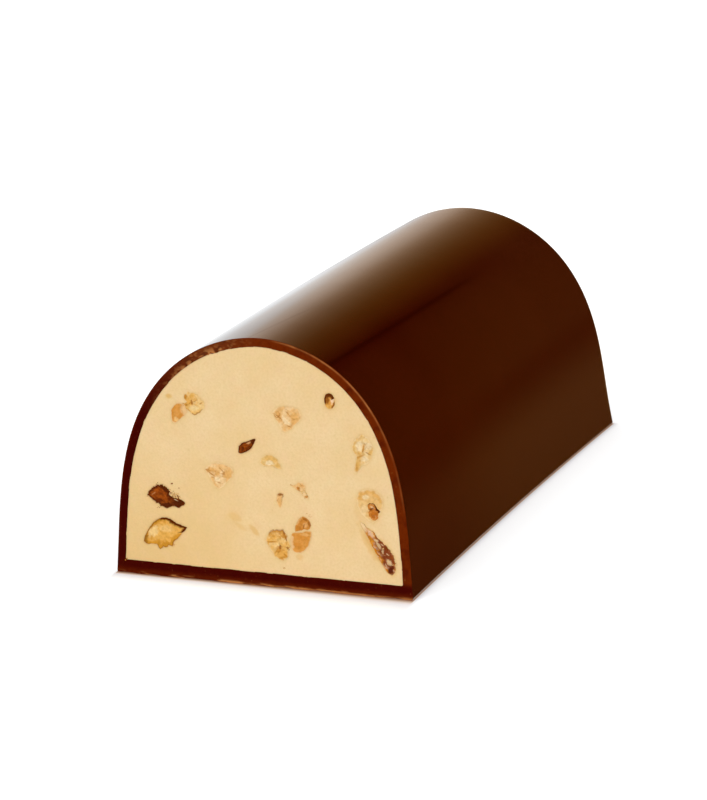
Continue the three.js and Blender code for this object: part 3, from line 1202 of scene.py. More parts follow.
    def _finish(
        self, mesh: bpy.types.Mesh, rings: np.ndarray, poles: np.ndarray, first: int, last: int
    ) -> None:
        """Sets the cut finish on the rim and works out where it is shaded, warm and flecked.

        Args:
            mesh: the shell's mesh.
            rings: its rings in the loaf's frame.
            poles: its two poles; not used.
            first: the rim's first ring.
            last: the ring after the rim's last.
        """
        around = rings.shape[1]
        band = np.zeros(len(mesh.polygons), dtype=np.int32)
        band[:(last - 1) * around] = 1
        mesh.polygons.foreach_set("material_index", band)
        x, y, z = np.moveaxis(rings, -1, 0)
        base = 1.0 - smoothstep(self.base - 0.3, self.base + 0.5, z)
        low = 1.0 - smoothstep(0.3, 1.1, z)
        at_left = 0.75 * smoothstep(-12.0, -16.5, x) * (1.0 - base)
        shade = np.maximum(0.6 * base * smoothstep(0.5, 1.1, z), at_left)
        crown = np.exp(-(((x + 7.0) / 4.5) ** 2)) * smoothstep(18.0, 25.0, z)
        share = np.clip((np.arange(len(rings)) - first) / max(1, last - 1 - first), 0.0, 1.0)[:, None]
        upper = smoothstep(-15.0, -6.0, x) * (1.0 - base)
        torn = smoothstep(0.15, 0.5, Grain(51).layered(np.stack([x, z], -1) * 3.4, 4))
        warm = np.clip((0.95 - 0.35 * crown * (1.0 - torn)) * upper + 0.4 * base * low, 0.0, 1.0)
        fleck = np.clip((0.08 + 0.3 * torn) * crown, 0.0, 1.0)
        to_inside = share * self.wall / 0.65
        crumbled = smoothstep(0.02, 0.28, Grain(55).layered(np.stack([x, z], -1) * 2.6, 4)) * crown
        fleck = np.maximum(fleck, crumbled * np.exp(-(to_inside ** 2)))
        dark = smoothstep(0.0, 0.3, Grain(56).layered(np.stack([x, z], -1) * 1.9, 4)) * crown
        shade = np.maximum(shade, 0.8 * dark)
        mottle = smoothstep(0.0, 0.4, Grain(54).layered(np.stack([x, z], -1) * 1.1, 4))
        shade = np.maximum(shade, 0.45 * mottle * smoothstep(2.0, 9.0, x) * (1.0 - base))
        from_edge = (1.0 - share) * self.wall
        outer = np.exp(-((from_edge / 0.2) ** 2)) * smoothstep(-9.0, -13.0, x) * (1.0 - base)
        shade = shade * (1.0 - outer)
        warm = np.maximum(warm, 0.9 * outer)
        # Painted highlight: a thin pale line just inside the rounded outer edge, on the right and the crown.
        line = np.exp(-(((from_edge - 0.17) / 0.1) ** 2)) * (0.3 + 0.4 * smoothstep(19.0, 25.0, z))
        edge_highlight = line * smoothstep(1.0, 4.0, x) * smoothstep(10.0, 15.0, z)
        worn = 0.6 + 0.5 * Grain(52).layered(np.stack([x, z], -1) * 0.9, 3)
        # Pale streaks and flecks along the base's lower edge.
        streaks = smoothstep(0.0, 0.35, Grain(53).layered(np.stack([x * 0.9, z * 4.0], -1), 4))
        lower_edge = 0.95 * smoothstep(-6.0, 6.0, x) * smoothstep(0.34, 0.14, z) * worn
        pale_foot = np.maximum(smoothstep(0.45, 0.15, z) * streaks, lower_edge)
        fleck = np.maximum(fleck, np.maximum(edge_highlight * worn, 0.85 * pale_foot) * (share < 1.0))
        along = np.clip(y / self.form.length, 0.0, 1.0)
        # Painted reflection: lighter low on the side, growing towards the far end, with a faint band higher
        # up.
        lower = smoothstep(16.5, 8.0, z) * (0.45 + 0.55 * smoothstep(8.0, 46.0, y))
        below_top = np.maximum(smoothstep(31.0, 26.0, z), smoothstep(50.0, 78.0, y))
        reflection_tint = lower + 0.2 * smoothstep(15.5, 19.0, z) * below_top * smoothstep(12.0, 55.0, y)
        patterns = {
            "shade": shade, "warm": warm, "fleck": fleck, "reflection_tint": reflection_tint,
            "far": 0.15 + 0.85 * smoothstep(0.1, 0.9, along),
            "worn": 0.24 * smoothstep(34.0, 16.0, y),
            # Where the painted dark reflection line runs along the right, and how strongly.
            "seam_gap": x - 9.28 - 0.011 * y,
            "seam_strength": smoothstep(62.0, 42.0, y) * smoothstep(20.0, 24.0, z),
            "crease_gap": x + 1.3 - 0.11 * y,
            "crease_strength": smoothstep(24.0, 14.0, y) * smoothstep(20.0, 24.0, z),
        }
        for name, values in patterns.items():
            at_poles = (values[0].mean(), values[-1].mean())
            add_pattern(mesh, name, np.concatenate([values.ravel(), at_poles]))


@dataclass(frozen=True)
class NougatLog:
    """The nougat: a solid log that fills the shell, with the cut face towards the viewer."""

    form: LoafForm
    nuts: tuple[NutPiece, ...]
    inset: float = 1.1
    floor: float = 1.75
    corner: float = 0.2
    end_wall: float = 1.45
    face_steps: int = 130
    wall_steps: int = 12
    stains: tuple[Patch, ...] = (
        Patch(Layer.TONE, (-3.6, 8.7), (1.0, 0.5), -15.0, 0.5),
        Patch(Layer.TONE, (-1.0, 7.2), (0.9, 0.35), -45.0, 0.7),
        Patch(Layer.TONE, (-2.9, 7.6), (1.2, 0.3), -30.0, 0.4),
        Patch(Layer.TONE, (-2.6, 8.2), (2.3, 1.0), -20.0, 0.2),
        Patch(Layer.TONE, (-12.2, 23.8), (0.45, 0.3), 0.0, 1.0),
        Patch(Layer.TONE, (5.0, 4.3), (0.5, 0.4), 0.0, 0.5),
        Patch(Layer.TONE, (13.2, 10.6), (0.7, 1.6), 20.0, 0.3),
        Patch(Layer.TONE, (14.1, 7.0), (0.5, 2.6), 28.0, 0.6),
        Patch(Layer.TONE, (14.5, 6.7), (0.3, 2.6), 31.0, 0.95),
    )
    milk: Patch = Patch(Layer.PALE, (-2.1, 8.3), (1.0, 0.6), -25.0, 0.35)
    nut_hollow: float = 0.4
    oil_reach: float = 0.2
    smear_reach: float = 0.07
    edge_smear: float = 0.5
    edge_reach: float = 0.06

    def build(self) -> bpy.types.Object:
        """Makes the log as one closed skin, from the middle of the cut to the middle of its end.

        Returns:
            The log's object.
        """
        form = self.form
        outline = form.outline(self.inset, self.floor, self.corner)
        middle = np.array([0.0, form.height * 0.42])
        share = np.append(np.linspace(0.0, 1.0, self.face_steps)[1:-1], (0.998, 1.0))
        flat = middle + (outline[None] - middle) * share[:, None, None]
        inside, stain, smear = self._round_nuts(flat)
        y = self._relief(flat, inside)
        face = np.stack([flat[..., 0], y, flat[..., 1]], axis=-1)
        end = form.length - self.end_wall
        stations = np.linspace(0.3, end, self.wall_steps)
        sections = np.broadcast_to(outline, (len(stations),) + outline.shape)
        walls = form.place(sections, stations[:, None], end)
        rings = np.concatenate([face, walls])
        poles = np.array([face[0].mean(axis=0), walls[-1].mean(axis=0)])
        mesh = closed_skin("nougat_filling", form.to_frame(rings), form.to_frame(poles))
        warm = smoothstep(4.0, -14.0, rings[..., 0]) * smoothstep(18.0, 4.0, rings[..., 2]) * 0.9
        to_edge = np.linalg.norm(outline - middle, axis=-1)[None] * (1.0 - share[:, None])
        smear = np.maximum(smear, self.edge_smear * np.exp(-to_edge / self.edge_reach))
        behind = np.zeros(walls.shape[:2])
        milk = self.milk.over(flat, Grain(62).layered(flat * 1.4, 3))
        stains, smears, milks = (np.concatenate([face, behind]) for face in (stain, smear, milk))
        for name, values in (("stain", stains), ("smear", smears), ("milk", milks), ("warm", warm)):
            add_pattern(mesh, name, np.concatenate([values.ravel(), [values[0].mean(), 0.0]]))
        return dressed("nougat_filling", mesh, [CutNougat().material()], "nougat_filling")

    def _round_nuts(self, flat: np.ndarray) -> tuple[np.ndarray, np.ndarray, np.ndarray]:
        """What the nuts do to the nougat round them.

        A nut's oil stains it by e^(-gap / reach), and a dark nut smears it in the same way.

        Args:
            flat: X and Z of the face's points.

        Returns:
            How far each point lies inside the nearest nut's edge (less than 0 outside all of
            them), how oily it is and how smeared.
        """
        inside = np.full(flat.shape[:-1], -9.0)
        noise = Grain(61).layered(flat * 1.4, 3)
        stain = np.max([patch.over(flat, noise) for patch in self.stains], axis=0)
        smear = np.zeros(flat.shape[:-1])
        for nut in self.nuts:
            offset = flat - np.array(nut.middle)
            turn = np.arctan2(offset[..., 1], offset[..., 0]) % (2 * np.pi)
            around = np.linspace(0.0, 2 * np.pi, nut.around + 1)
            reach = nut.reach()
            depth = np.interp(turn, around, np.append(reach, reach[0])) - np.linalg.norm(offset, axis=-1)
            inside = np.maximum(inside, depth)
            stain = np.maximum(stain, nut.kind.value.oil * np.exp(np.minimum(0.0, depth) / self.oil_reach))
            smear = np.maximum(smear, nut.kind.value.dark * np.exp(np.minimum(0.0, depth) / self.smear_reach))
        return inside, stain, smear

    def _relief(self, flat: np.ndarray, inside: np.ndarray) -> np.ndarray:
        """How far the face lies behind the cut: soft lumps, level round a nut, deep behind it.

        Args:
            flat: X and Z of the face's points.
            inside: how far each lies inside the nearest nut's edge.

        Returns:
            The depth of each point.
        """
        lumps = 0.03 * Grain(71).layered(flat * 0.35, 3) + 0.015 * Grain(72).layered(flat * 1.6, 3)
        level = smoothstep(0.0, 0.7, -inside)
        return 0.012 - level * lumps + self.nut_hollow * smoothstep(0.08, 0.3, inside)


def nut_pieces() -> tuple[NutPiece, ...]:
    """The nut pieces that the cut shows, from the left of the cut to its right."""
    kinds, broken = NutKind, Texture
    tone, pale, vein_and_shade, skin, buried = Layer
    return (
        NutPiece(
            "roasted_nut_piece", kinds.ROASTED, broken.CHARRED, 3.2, (-13.3, 10.5),
            (
                (-15.4, 10.7), (-15.0, 11.4), (-14.4, 11.85), (-13.5, 12.15), (-12.9, 11.8), (-12.4, 11.4),
                (-12.5, 10.9), (-11.9, 10.5), (-11.1, 10.45), (-10.6, 10.15), (-10.25, 9.9), (-10.7, 9.6),
                (-11.3, 9.25), (-11.7, 9.5), (-12.3, 9.3), (-12.8, 9.05), (-13.4, 9.2), (-14.0, 9.6),
                (-14.7, 10.1),
            ),
            (
                EdgeLine(skin, 0, 360, 0.34, 0.34, 0.85), Patch(skin, (-11.2, 9.9), (1.2, 0.6)),
                Patch(skin, (-13.1, 11.7), (1.0, 0.35), -30),
                Patch(skin, (-12.9, 9.5), (1.0, 0.35), 10),
                Patch(tone, (-12.3, 10.9), (0.6, 0.9)),
                Patch(pale, (-11.9, 10.75), (0.5, 0.25), -20, 0.8),
                Patch(buried, (-11.55, 10.3), (0.35, 0.06), -20, 0.7),
                Patch(buried, (-12.15, 10.75), (0.3, 0.06), -35, 0.7),
                Patch(pale, (-14.6, 10.9), (0.3, 0.08), 40, 0.35),
            ),
            ragged=0.17, grit=5.0, seed=101, around=260,
        ),
        NutPiece(
            "almond_piece", kinds.ALMOND, broken.WAXY, 3.4, (-13.4, 5.7),
            (
                (-16.15, 4.5), (-15.95, 5.2), (-15.4, 6.2), (-14.95, 6.8), (-14.5, 7.3), (-13.9, 7.65),
                (-13.1, 7.85), (-12.4, 7.7), (-11.5, 7.2), (-10.8, 6.95), (-10.15, 6.8), (-10.4, 6.35),
                (-10.9, 6.0), (-11.2, 5.5), (-11.6, 5.1), (-12.0, 4.7), (-12.25, 4.15), (-12.7, 4.25),
                (-13.0, 3.95), (-13.5, 3.95), (-13.95, 3.55), (-14.2, 4.05), (-14.4, 4.25), (-15.0, 4.25),
                (-15.7, 4.1),
            ),
            (
                EdgeLine(skin, 8, 100, 0.62, 0.3), EdgeLine(vein_and_shade, 90, 215, 0.2, 0.2, 0.9),
                EdgeLine(vein_and_shade, 190, 212, 0.6, 0.5), EdgeLine(tone, 205, 365, 0.9, 0.7),
                EdgeLine(vein_and_shade, 240, 350, 0.16, 0.16, 0.6), EdgeLine(tone, 90, 200, 0.6, 0.5),
                Patch(pale, (-14.7, 5.9), (0.9, 0.6), 50, 0.9),
                Patch(pale, (-13.0, 6.4), (1.2, 0.5), 0, 0.5),
            ),
            ragged=0.06, grit=5.0, edge_tone=0.3, seed=102, around=260, face_rings=40,
        ),
        NutPiece(
            "dark_nut_chip", kinds.ROASTED, broken.CHARRED, 1.4, (-1.9, 17.95),
            (
                (-2.9, 17.2), (-2.88, 17.6), (-2.85, 18.0), (-2.4, 18.5), (-1.95, 18.65), (-1.5, 18.8),
                (-1.0, 19.05), (-0.5, 19.2), (-0.65, 18.9), (-0.8, 18.6), (-1.0, 18.2), (-1.2, 17.9),
                (-1.8, 17.4), (-2.6, 17.1),
            ),
            (
                EdgeLine(skin, 0, 360, 0.2, 0.2, 0.9), Patch(skin, (-0.8, 18.8), (0.6, 0.3), 45),
                Patch(pale, (-1.5, 18.6), (0.35, 0.16), 20, 0.8),
                Patch(skin, (-1.5, 17.9), (0.5, 0.3), 30, 0.7),
            ),
            ragged=0.05, grit=5.0, seed=103,
        ),
        NutPiece(
            "brown_nut_piece", kinds.TOASTED, broken.SMOOTH, 1.5, (9.35, 24.8),
            (
                (10.05, 24.75), (9.95, 25.3), (9.65, 25.7), (9.25, 25.8), (8.85, 25.6), (8.68, 25.1),
                (8.7, 24.6), (8.85, 24.1), (9.25, 23.8), (9.7, 23.9), (10.0, 24.3),
            ),
            (
                EdgeLine(skin, 30, 215, 0.5, 0.24), Patch(skin, (9.2, 25.5), (0.5, 0.3)),
                EdgeLine(vein_and_shade, 290, 350, 0.2, 0.12, 0.9), Patch(tone, (9.3, 24.1), (0.6, 0.35)),
                Patch(pale, (9.75, 24.85), (0.24, 0.4), -15),
                Patch(vein_and_shade, (9.1, 24.9), (0.25, 0.5), 0, 0.8),
            ),
            ragged=0.02, seed=104,
        ),
        NutPiece(
            "tan_nut_piece", kinds.TAN, broken.SMOOTH, 1.8, (-10.9, 21.9),
            (
                (-10.7, 22.9), (-10.0, 22.7), (-9.8, 22.0), (-10.2, 21.4), (-10.8, 20.95), (-11.3, 20.4),
                (-11.7, 20.5), (-11.8, 20.9), (-11.85, 21.5), (-11.8, 22.0), (-11.6, 22.4), (-11.3, 22.7),
            ),
            (
                EdgeLine(tone, 120, 240, 0.5, 0.4), Patch(pale, (-11.2, 20.9), (0.35, 0.25)),
                Patch(buried, (-10.0, 22.2), (0.5, 0.9), 0, 0.6),
            ),
            soft=0.25, ragged=0.06, seed=105,
        ),
        NutPiece(
            "crisp_piece_left", kinds.CRISP, broken.CRISP, 2.0, (-8.9, 23.0),
            (
                (-10.05, 24.1), (-9.5, 24.45), (-8.9, 24.4), (-8.3, 24.2), (-7.4, 23.4), (-7.35, 22.7),
                (-8.0, 22.0), (-8.7, 21.55), (-9.3, 22.0), (-10.0, 22.5), (-10.15, 22.9), (-9.6, 23.2),
                (-10.0, 23.6),
            ),
            (
                EdgeLine(skin, 262, 335, 0.24, 0.14, 0.7), EdgeLine(vein_and_shade, 170, 250, 0.2, 0.16, 0.6),
                Patch(tone, (-9.0, 23.4), (1.3, 0.9), 10),
                Patch(skin, (-9.05, 23.2), (0.14, 0.3), 10, 0.8),
                Patch(vein_and_shade, (-9.9, 23.9), (0.3, 0.35)), Patch(vein_and_shade, (-7.8, 23.2), (0.3, 0.1), 30, 0.7),
                Patch(vein_and_shade, (-9.9, 22.8), (0.25, 0.15), 0, 0.9),
                Patch(pale, (-8.7, 22.5), (0.7, 0.4), 10, 0.7),
            ),
            soft=0.15, ragged=0.1, grit=4.0, seed=106,
        ),
        NutPiece(
            "crisp_piece_top", kinds.CREAM_CRISP, broken.CRISP, 2.4, (3.6, 22.2),
            (
                (1.7, 22.7), (2.3, 23.3), (3.0, 23.5), (3.6, 23.6), (4.3, 23.55), (5.1, 23.4), (5.5, 22.8),
                (5.5, 22.3), (5.1, 21.8), (4.7, 21.5), (4.2, 20.9), (3.6, 20.45), (3.1, 20.6), (2.7, 21.3),
                (2.2, 22.0),
            ),
            (
                Patch(tone, (2.7, 22.6), (0.9, 0.5), -20, 0.9),
                Patch(tone, (4.7, 22.2), (0.6, 1.1), -20, 0.9),
                Patch(pale, (3.4, 21.9), (0.35, 0.7), 20, 0.8),
                Patch(pale, (3.9, 21.5), (0.4, 0.25), 0, 0.8),
                Patch(vein_and_shade, (2.5, 22.3), (0.7, 0.09), -32, 0.9),
                Patch(vein_and_shade, (3.9, 22.7), (0.5, 0.08), -50, 0.7),
                Patch(vein_and_shade, (3.9, 21.15), (0.45, 0.08), -20, 0.9),
                Patch(tone, (3.6, 20.8), (0.6, 0.25)),
            ),
            soft=0.3, ragged=0.1, seed=107,
        ),
        NutPiece(
            "crisp_piece_middle", kinds.CREAM_CRISP, broken.CRISP, 2.4, (-5.6, 14.2),
            (
                (-7.5, 14.7), (-7.0, 15.1), (-6.3, 15.4), (-5.5, 15.55), (-4.7, 15.4), (-3.9, 15.1),
                (-3.65, 14.6), (-3.9, 14.0), (-4.4, 13.5), (-4.9, 13.0), (-5.3, 12.5), (-5.8, 12.35),
                (-6.2, 12.6), (-6.5, 13.3), (-7.0, 14.0),
            ),
            (
                Patch(tone, (-6.4, 14.4), (0.9, 0.5), -20, 0.9),
                Patch(tone, (-4.5, 14.0), (0.5, 1.1), -25, 0.9),
                Patch(pale, (-5.8, 13.5), (0.5, 0.4), 0, 0.9),
                Patch(pale, (-5.2, 14.3), (0.25, 0.5), -20, 0.7),
                Patch(vein_and_shade, (-6.7, 14.2), (0.7, 0.09), -32, 0.9),
                Patch(vein_and_shade, (-5.2, 14.7), (0.5, 0.08), -45, 0.8),
                Patch(vein_and_shade, (-5.6, 13.1), (0.45, 0.08), -15, 0.9),
                Patch(tone, (-5.6, 12.7), (0.6, 0.25)),
            ),
            soft=0.3, ragged=0.1, seed=108,
        ),
        NutPiece(
            "crisp_piece_right", kinds.PALE_CRISP, broken.CRISP, 2.2, (13.6, 18.6),
            (
                (13.5, 20.85), (12.9, 20.3), (12.4, 19.6), (12.3, 18.8), (12.7, 18.3), (12.9, 18.0),
                (12.75, 17.4), (12.65, 16.7), (12.5, 16.0), (12.9, 15.9), (13.2, 16.6), (13.5, 17.0),
                (14.2, 17.15), (14.6, 17.8), (14.85, 18.4), (15.0, 19.1), (14.7, 19.8), (14.2, 20.5),
            ),
            (
                Patch(vein_and_shade, (13.75, 19.1), (0.12, 0.6), -15, 0.9),
                Patch(skin, (14.35, 18.5), (0.5, 0.1), -25, 0.6),
                Patch(vein_and_shade, (13.2, 18.0), (0.6, 0.15), 25, 0.8),
                Patch(tone, (13.0, 17.2), (0.3, 1.2), -5),
                EdgeLine(tone, 90, 200, 0.4, 0.4, 0.9), Patch(vein_and_shade, (12.85, 16.4), (0.15, 0.5), 0, 0.7),
                Patch(pale, (13.2, 19.4), (0.5, 0.8), 0, 0.8),
                Patch(pale, (14.3, 19.5), (0.5, 0.6), 0, 0.8),
                Patch(pale, (13.9, 17.8), (0.5, 0.4), 0, 0.8),
            ),
            soft=0.25, ragged=0.1, seed=109,
        ),
        NutPiece(
            "pale_nut_crescent", kinds.PALE_CRISP, broken.SMOOTH, 1.2, (1.4, 16.3),
            (
                (0.0, 16.1), (0.3, 16.7), (0.9, 17.15), (1.6, 17.15), (2.2, 16.7), (2.6, 16.1),
                (2.75, 15.6), (2.3, 15.55), (2.0, 15.8), (1.3, 15.95), (0.6, 15.8),
            ),
            (
                Patch(tone, (1.5, 16.7), (1.2, 0.6), -12, 0.9),
                Patch(tone, (2.4, 16.1), (0.4, 0.6), -20, 0.9),
                Patch(pale, (1.2, 16.2), (0.6, 0.3), 0, 0.9),
            ),
            soft=0.25, ragged=0.08, edge_tone=0.2, seed=110,
        ),
        NutPiece(
            "nut_crumb_upper", kinds.CREAM_CRISP, broken.CRUMB, 1.0, (5.35, 13.2),
            (
                (4.2, 13.5), (4.8, 13.6), (5.0, 14.0), (5.6, 13.95), (5.9, 13.5), (5.8, 13.0),
                (6.0, 12.6), (6.35, 12.2), (6.1, 12.0), (5.7, 12.4), (5.3, 12.8), (4.8, 13.1),
            ),
            (
                Patch(vein_and_shade, (5.05, 13.3), (0.2, 0.2)), Patch(vein_and_shade, (6.0, 12.2), (0.35, 0.12), 20),
                Patch(tone, (5.5, 13.6), (0.5, 0.4)),
                Patch(buried, (5.75, 12.7), (0.35, 0.3), -50, 0.6),
            ),
            soft=0.3, ragged=0.12, seed=111,
        ),
        NutPiece(
            "nut_crumb_lower", kinds.CREAM_CRISP, broken.CRUMB, 1.0, (2.55, 11.6),
            (
                (2.2, 12.1), (2.5, 12.45), (3.0, 12.3), (2.95, 12.05), (2.7, 11.8), (2.75, 11.3),
                (2.7, 10.9), (2.5, 10.55), (2.35, 11.0), (2.15, 11.4), (2.3, 11.8),
            ),
            (Patch(skin, (2.6, 12.25), (0.4, 0.16), 0, 0.9), Patch(tone, (2.5, 11.2), (0.2, 0.8), 0, 0.9)),
            soft=0.2, ragged=0.08, seed=112,
        ),
        NutPiece(
            "nut_half_upper", kinds.HALF, broken.SMOOTH, 2.0, (5.5, 8.55),
            (
                (4.55, 7.6), (4.55, 8.2), (4.7, 8.6), (5.0, 9.2), (5.5, 9.6), (6.0, 9.45), (6.3, 9.2),
                (6.6, 8.6), (6.4, 8.1), (6.1, 7.95), (5.7, 8.05), (5.4, 7.85), (5.0, 7.75),
            ),
            (
                Patch(pale, (5.9, 8.5), (0.3, 0.45), -10, 0.6),
                Patch(vein_and_shade, (5.9, 9.25), (0.45, 0.2), -30, 0.9),
                Patch(vein_and_shade, (6.4, 8.7), (0.2, 0.5), 20, 0.8),
                Patch(vein_and_shade, (5.65, 8.3), (0.08, 0.4), -15, 0.8),
                Patch(tone, (5.0, 8.0), (0.5, 0.4)), EdgeLine(pale, 95, 185, 0.3, 0.25, 0.7),
            ),
            soft=0.15, ragged=0.06, seed=113,
        ),
        NutPiece(
            "nut_half_lower", kinds.TAN, broken.SMOOTH, 2.4, (5.3, 6.3),
            (
                (3.9, 6.2), (4.0, 6.9), (4.2, 7.3), (4.8, 7.45), (5.4, 7.5), (6.0, 7.75), (6.6, 7.7),
                (6.6, 7.1), (6.45, 6.6), (6.1, 5.8), (5.7, 5.3), (5.2, 4.9), (4.7, 4.9), (4.2, 5.1),
                (4.0, 5.6),
            ),
            (
                Patch(tone, (5.4, 6.9), (1.2, 0.5)), Patch(tone, (4.9, 5.7), (0.7, 0.5)),
                Patch(pale, (5.9, 7.3), (0.6, 0.2), 0, 0.5), EdgeLine(buried, 150, 220, 0.4, 0.4, 0.6),
            ),
            soft=0.2, ragged=0.04, seed=114,
        ),
        NutPiece(
            "crisp_piece_lower", kinds.CRISP, broken.CRISP, 2.6, (2.3, 5.7),
            (
                (0.8, 6.7), (1.1, 7.15), (1.5, 7.45), (2.2, 7.6), (2.9, 7.65), (3.05, 7.2), (3.4, 6.9),
                (3.5, 6.2), (3.8, 5.6), (3.7, 5.3), (3.4, 5.0), (3.5, 4.5), (3.3, 4.0), (2.9, 3.6),
                (2.3, 3.8), (1.7, 4.2), (1.4, 4.8), (1.0, 5.3), (0.6, 6.0),
            ),
            (
                EdgeLine(skin, 58, 132, 0.3, 0.2, 0.9), EdgeLine(vein_and_shade, 40, 140, 0.75, 0.5, 0.75),
                Patch(vein_and_shade, (1.3, 5.95), (0.8, 0.1), 8, 0.9),
                Patch(skin, (2.45, 5.3), (0.16, 0.3), 0, 0.9),
                Patch(skin, (3.5, 5.3), (0.18, 0.2), 0, 0.8),
                Patch(tone, (2.7, 4.5), (1.0, 0.8), 20), Patch(skin, (3.25, 6.6), (0.12, 0.5), 20, 0.8),
                Patch(vein_and_shade, (2.0, 4.9), (0.6, 0.1), 60, 0.7),
                Patch(vein_and_shade, (3.2, 4.3), (0.35, 0.12), -40, 0.9),
                Patch(tone, (1.5, 6.6), (0.6, 0.4), 30), Patch(vein_and_shade, (2.6, 3.95), (0.6, 0.15), 20, 0.7),
            ),
            soft=0.2, ragged=0.12, grit=4.0, seed=115,
        ),
        NutPiece(
            "caramel_nut", kinds.BROWN, broken.CRUMB, 1.6, (14.9, 11.1),
            (
                (14.15, 12.0), (14.5, 12.25), (14.9, 12.3), (15.2, 12.0), (15.5, 11.5), (15.9, 11.15),
                (15.6, 10.9), (15.55, 10.3), (15.2, 9.95), (14.8, 10.0), (14.4, 10.4), (14.05, 10.9),
                (14.2, 11.5),
            ),
            (
                EdgeLine(skin, 350, 490, 0.26, 0.22), Patch(vein_and_shade, (14.5, 11.3), (0.5, 0.2), 30, 0.8),
                Patch(pale, (14.8, 11.65), (0.3, 0.14), -30, 0.6),
                Patch(tone, (15.0, 10.7), (0.5, 0.5)),
                Patch(skin, (14.75, 11.45), (0.3, 0.07), 25, 0.7),
            ),
            ragged=0.07, grit=4.0, proud=0.09, seed=116,
        ),
        NutPiece(
            "caramel_crisp_piece", kinds.STAINED, broken.SMOOTH, 2.0, (14.5, 12.0),
            (
                (12.9, 12.6), (13.1, 13.3), (13.6, 13.6), (14.2, 13.75), (15.1, 13.65), (15.9, 13.1),
                (16.1, 12.4), (15.95, 11.6), (15.7, 11.0), (15.3, 10.2), (14.9, 9.8), (14.2, 10.1),
                (13.5, 10.7), (13.0, 11.6),
            ),
            (
                EdgeLine(tone, 10, 160, 0.9, 0.9), Patch(pale, (13.9, 12.9), (0.5, 0.3), 10, 0.9),
                Patch(pale, (13.7, 11.2), (0.5, 0.7), 0, 0.6),
            ),
            soft=0.4, proud=0.02, ragged=0.06, seed=117,
        ),
        NutPiece(
            "almond_sliver", kinds.SLIVER, broken.FRAYED, 2.6, (15.7, 6.1),
            (
                (13.1, 9.7), (13.3, 9.3), (13.9, 8.2), (14.6, 6.8), (15.5, 5.2), (16.3, 3.9), (16.8, 3.2),
                (17.3, 3.05), (17.6, 3.3), (17.75, 3.9), (17.65, 4.9), (17.5, 5.6), (17.1, 6.1), (16.8, 6.5),
                (16.1, 7.2), (15.6, 7.6), (15.2, 7.9), (14.9, 8.5), (14.4, 8.6), (13.9, 9.0), (13.5, 9.5),
            ),
            (
                Patch(vein_and_shade, (16.45, 6.1), (2.4, 0.75), -56, 1.0), Patch(skin, (17.2, 3.7), (0.4, 0.6)),
                Patch(vein_and_shade, (16.8, 4.9), (1.5, 0.7), -62, 1.0),
                Patch(buried, (13.3, 9.4), (1.1, 0.6), -60, 0.9),
                Patch(pale, (14.6, 8.2), (0.7, 0.25), -50, 0.9),
                Patch(buried, (15.3, 7.4), (0.3, 0.16), -20, 0.8),
                Patch(buried, (15.6, 6.75), (0.55, 0.2), -60, 0.75),
                Patch(buried, (16.0, 6.9), (0.25, 0.08), -30, 0.6),
                Patch(buried, (16.1, 6.05), (0.4, 0.15), -75, 0.65),
                Patch(buried, (16.75, 5.75), (0.2, 0.08), -40, 0.6),
                Patch(buried, (16.9, 4.75), (0.45, 0.3), -50, 0.85),
                Patch(buried, (16.55, 4.3), (0.25, 0.08), -60, 0.5),
                EdgeLine(tone, 165, 262, 0.4, 0.3, 0.9),
            ),
            ragged=0.13, grit=5.0, seed=118, around=320, face_rings=30,
        ),
    )


@dataclass(frozen=True)
class CrumbPatch:
    """Loose crumbs of one kind over a patch of the cut: its middle, radii, tilt and crumb sizes."""

    at: Pair
    spread: Pair
    tilt: float
    count: int
    smallest: float
    largest: float


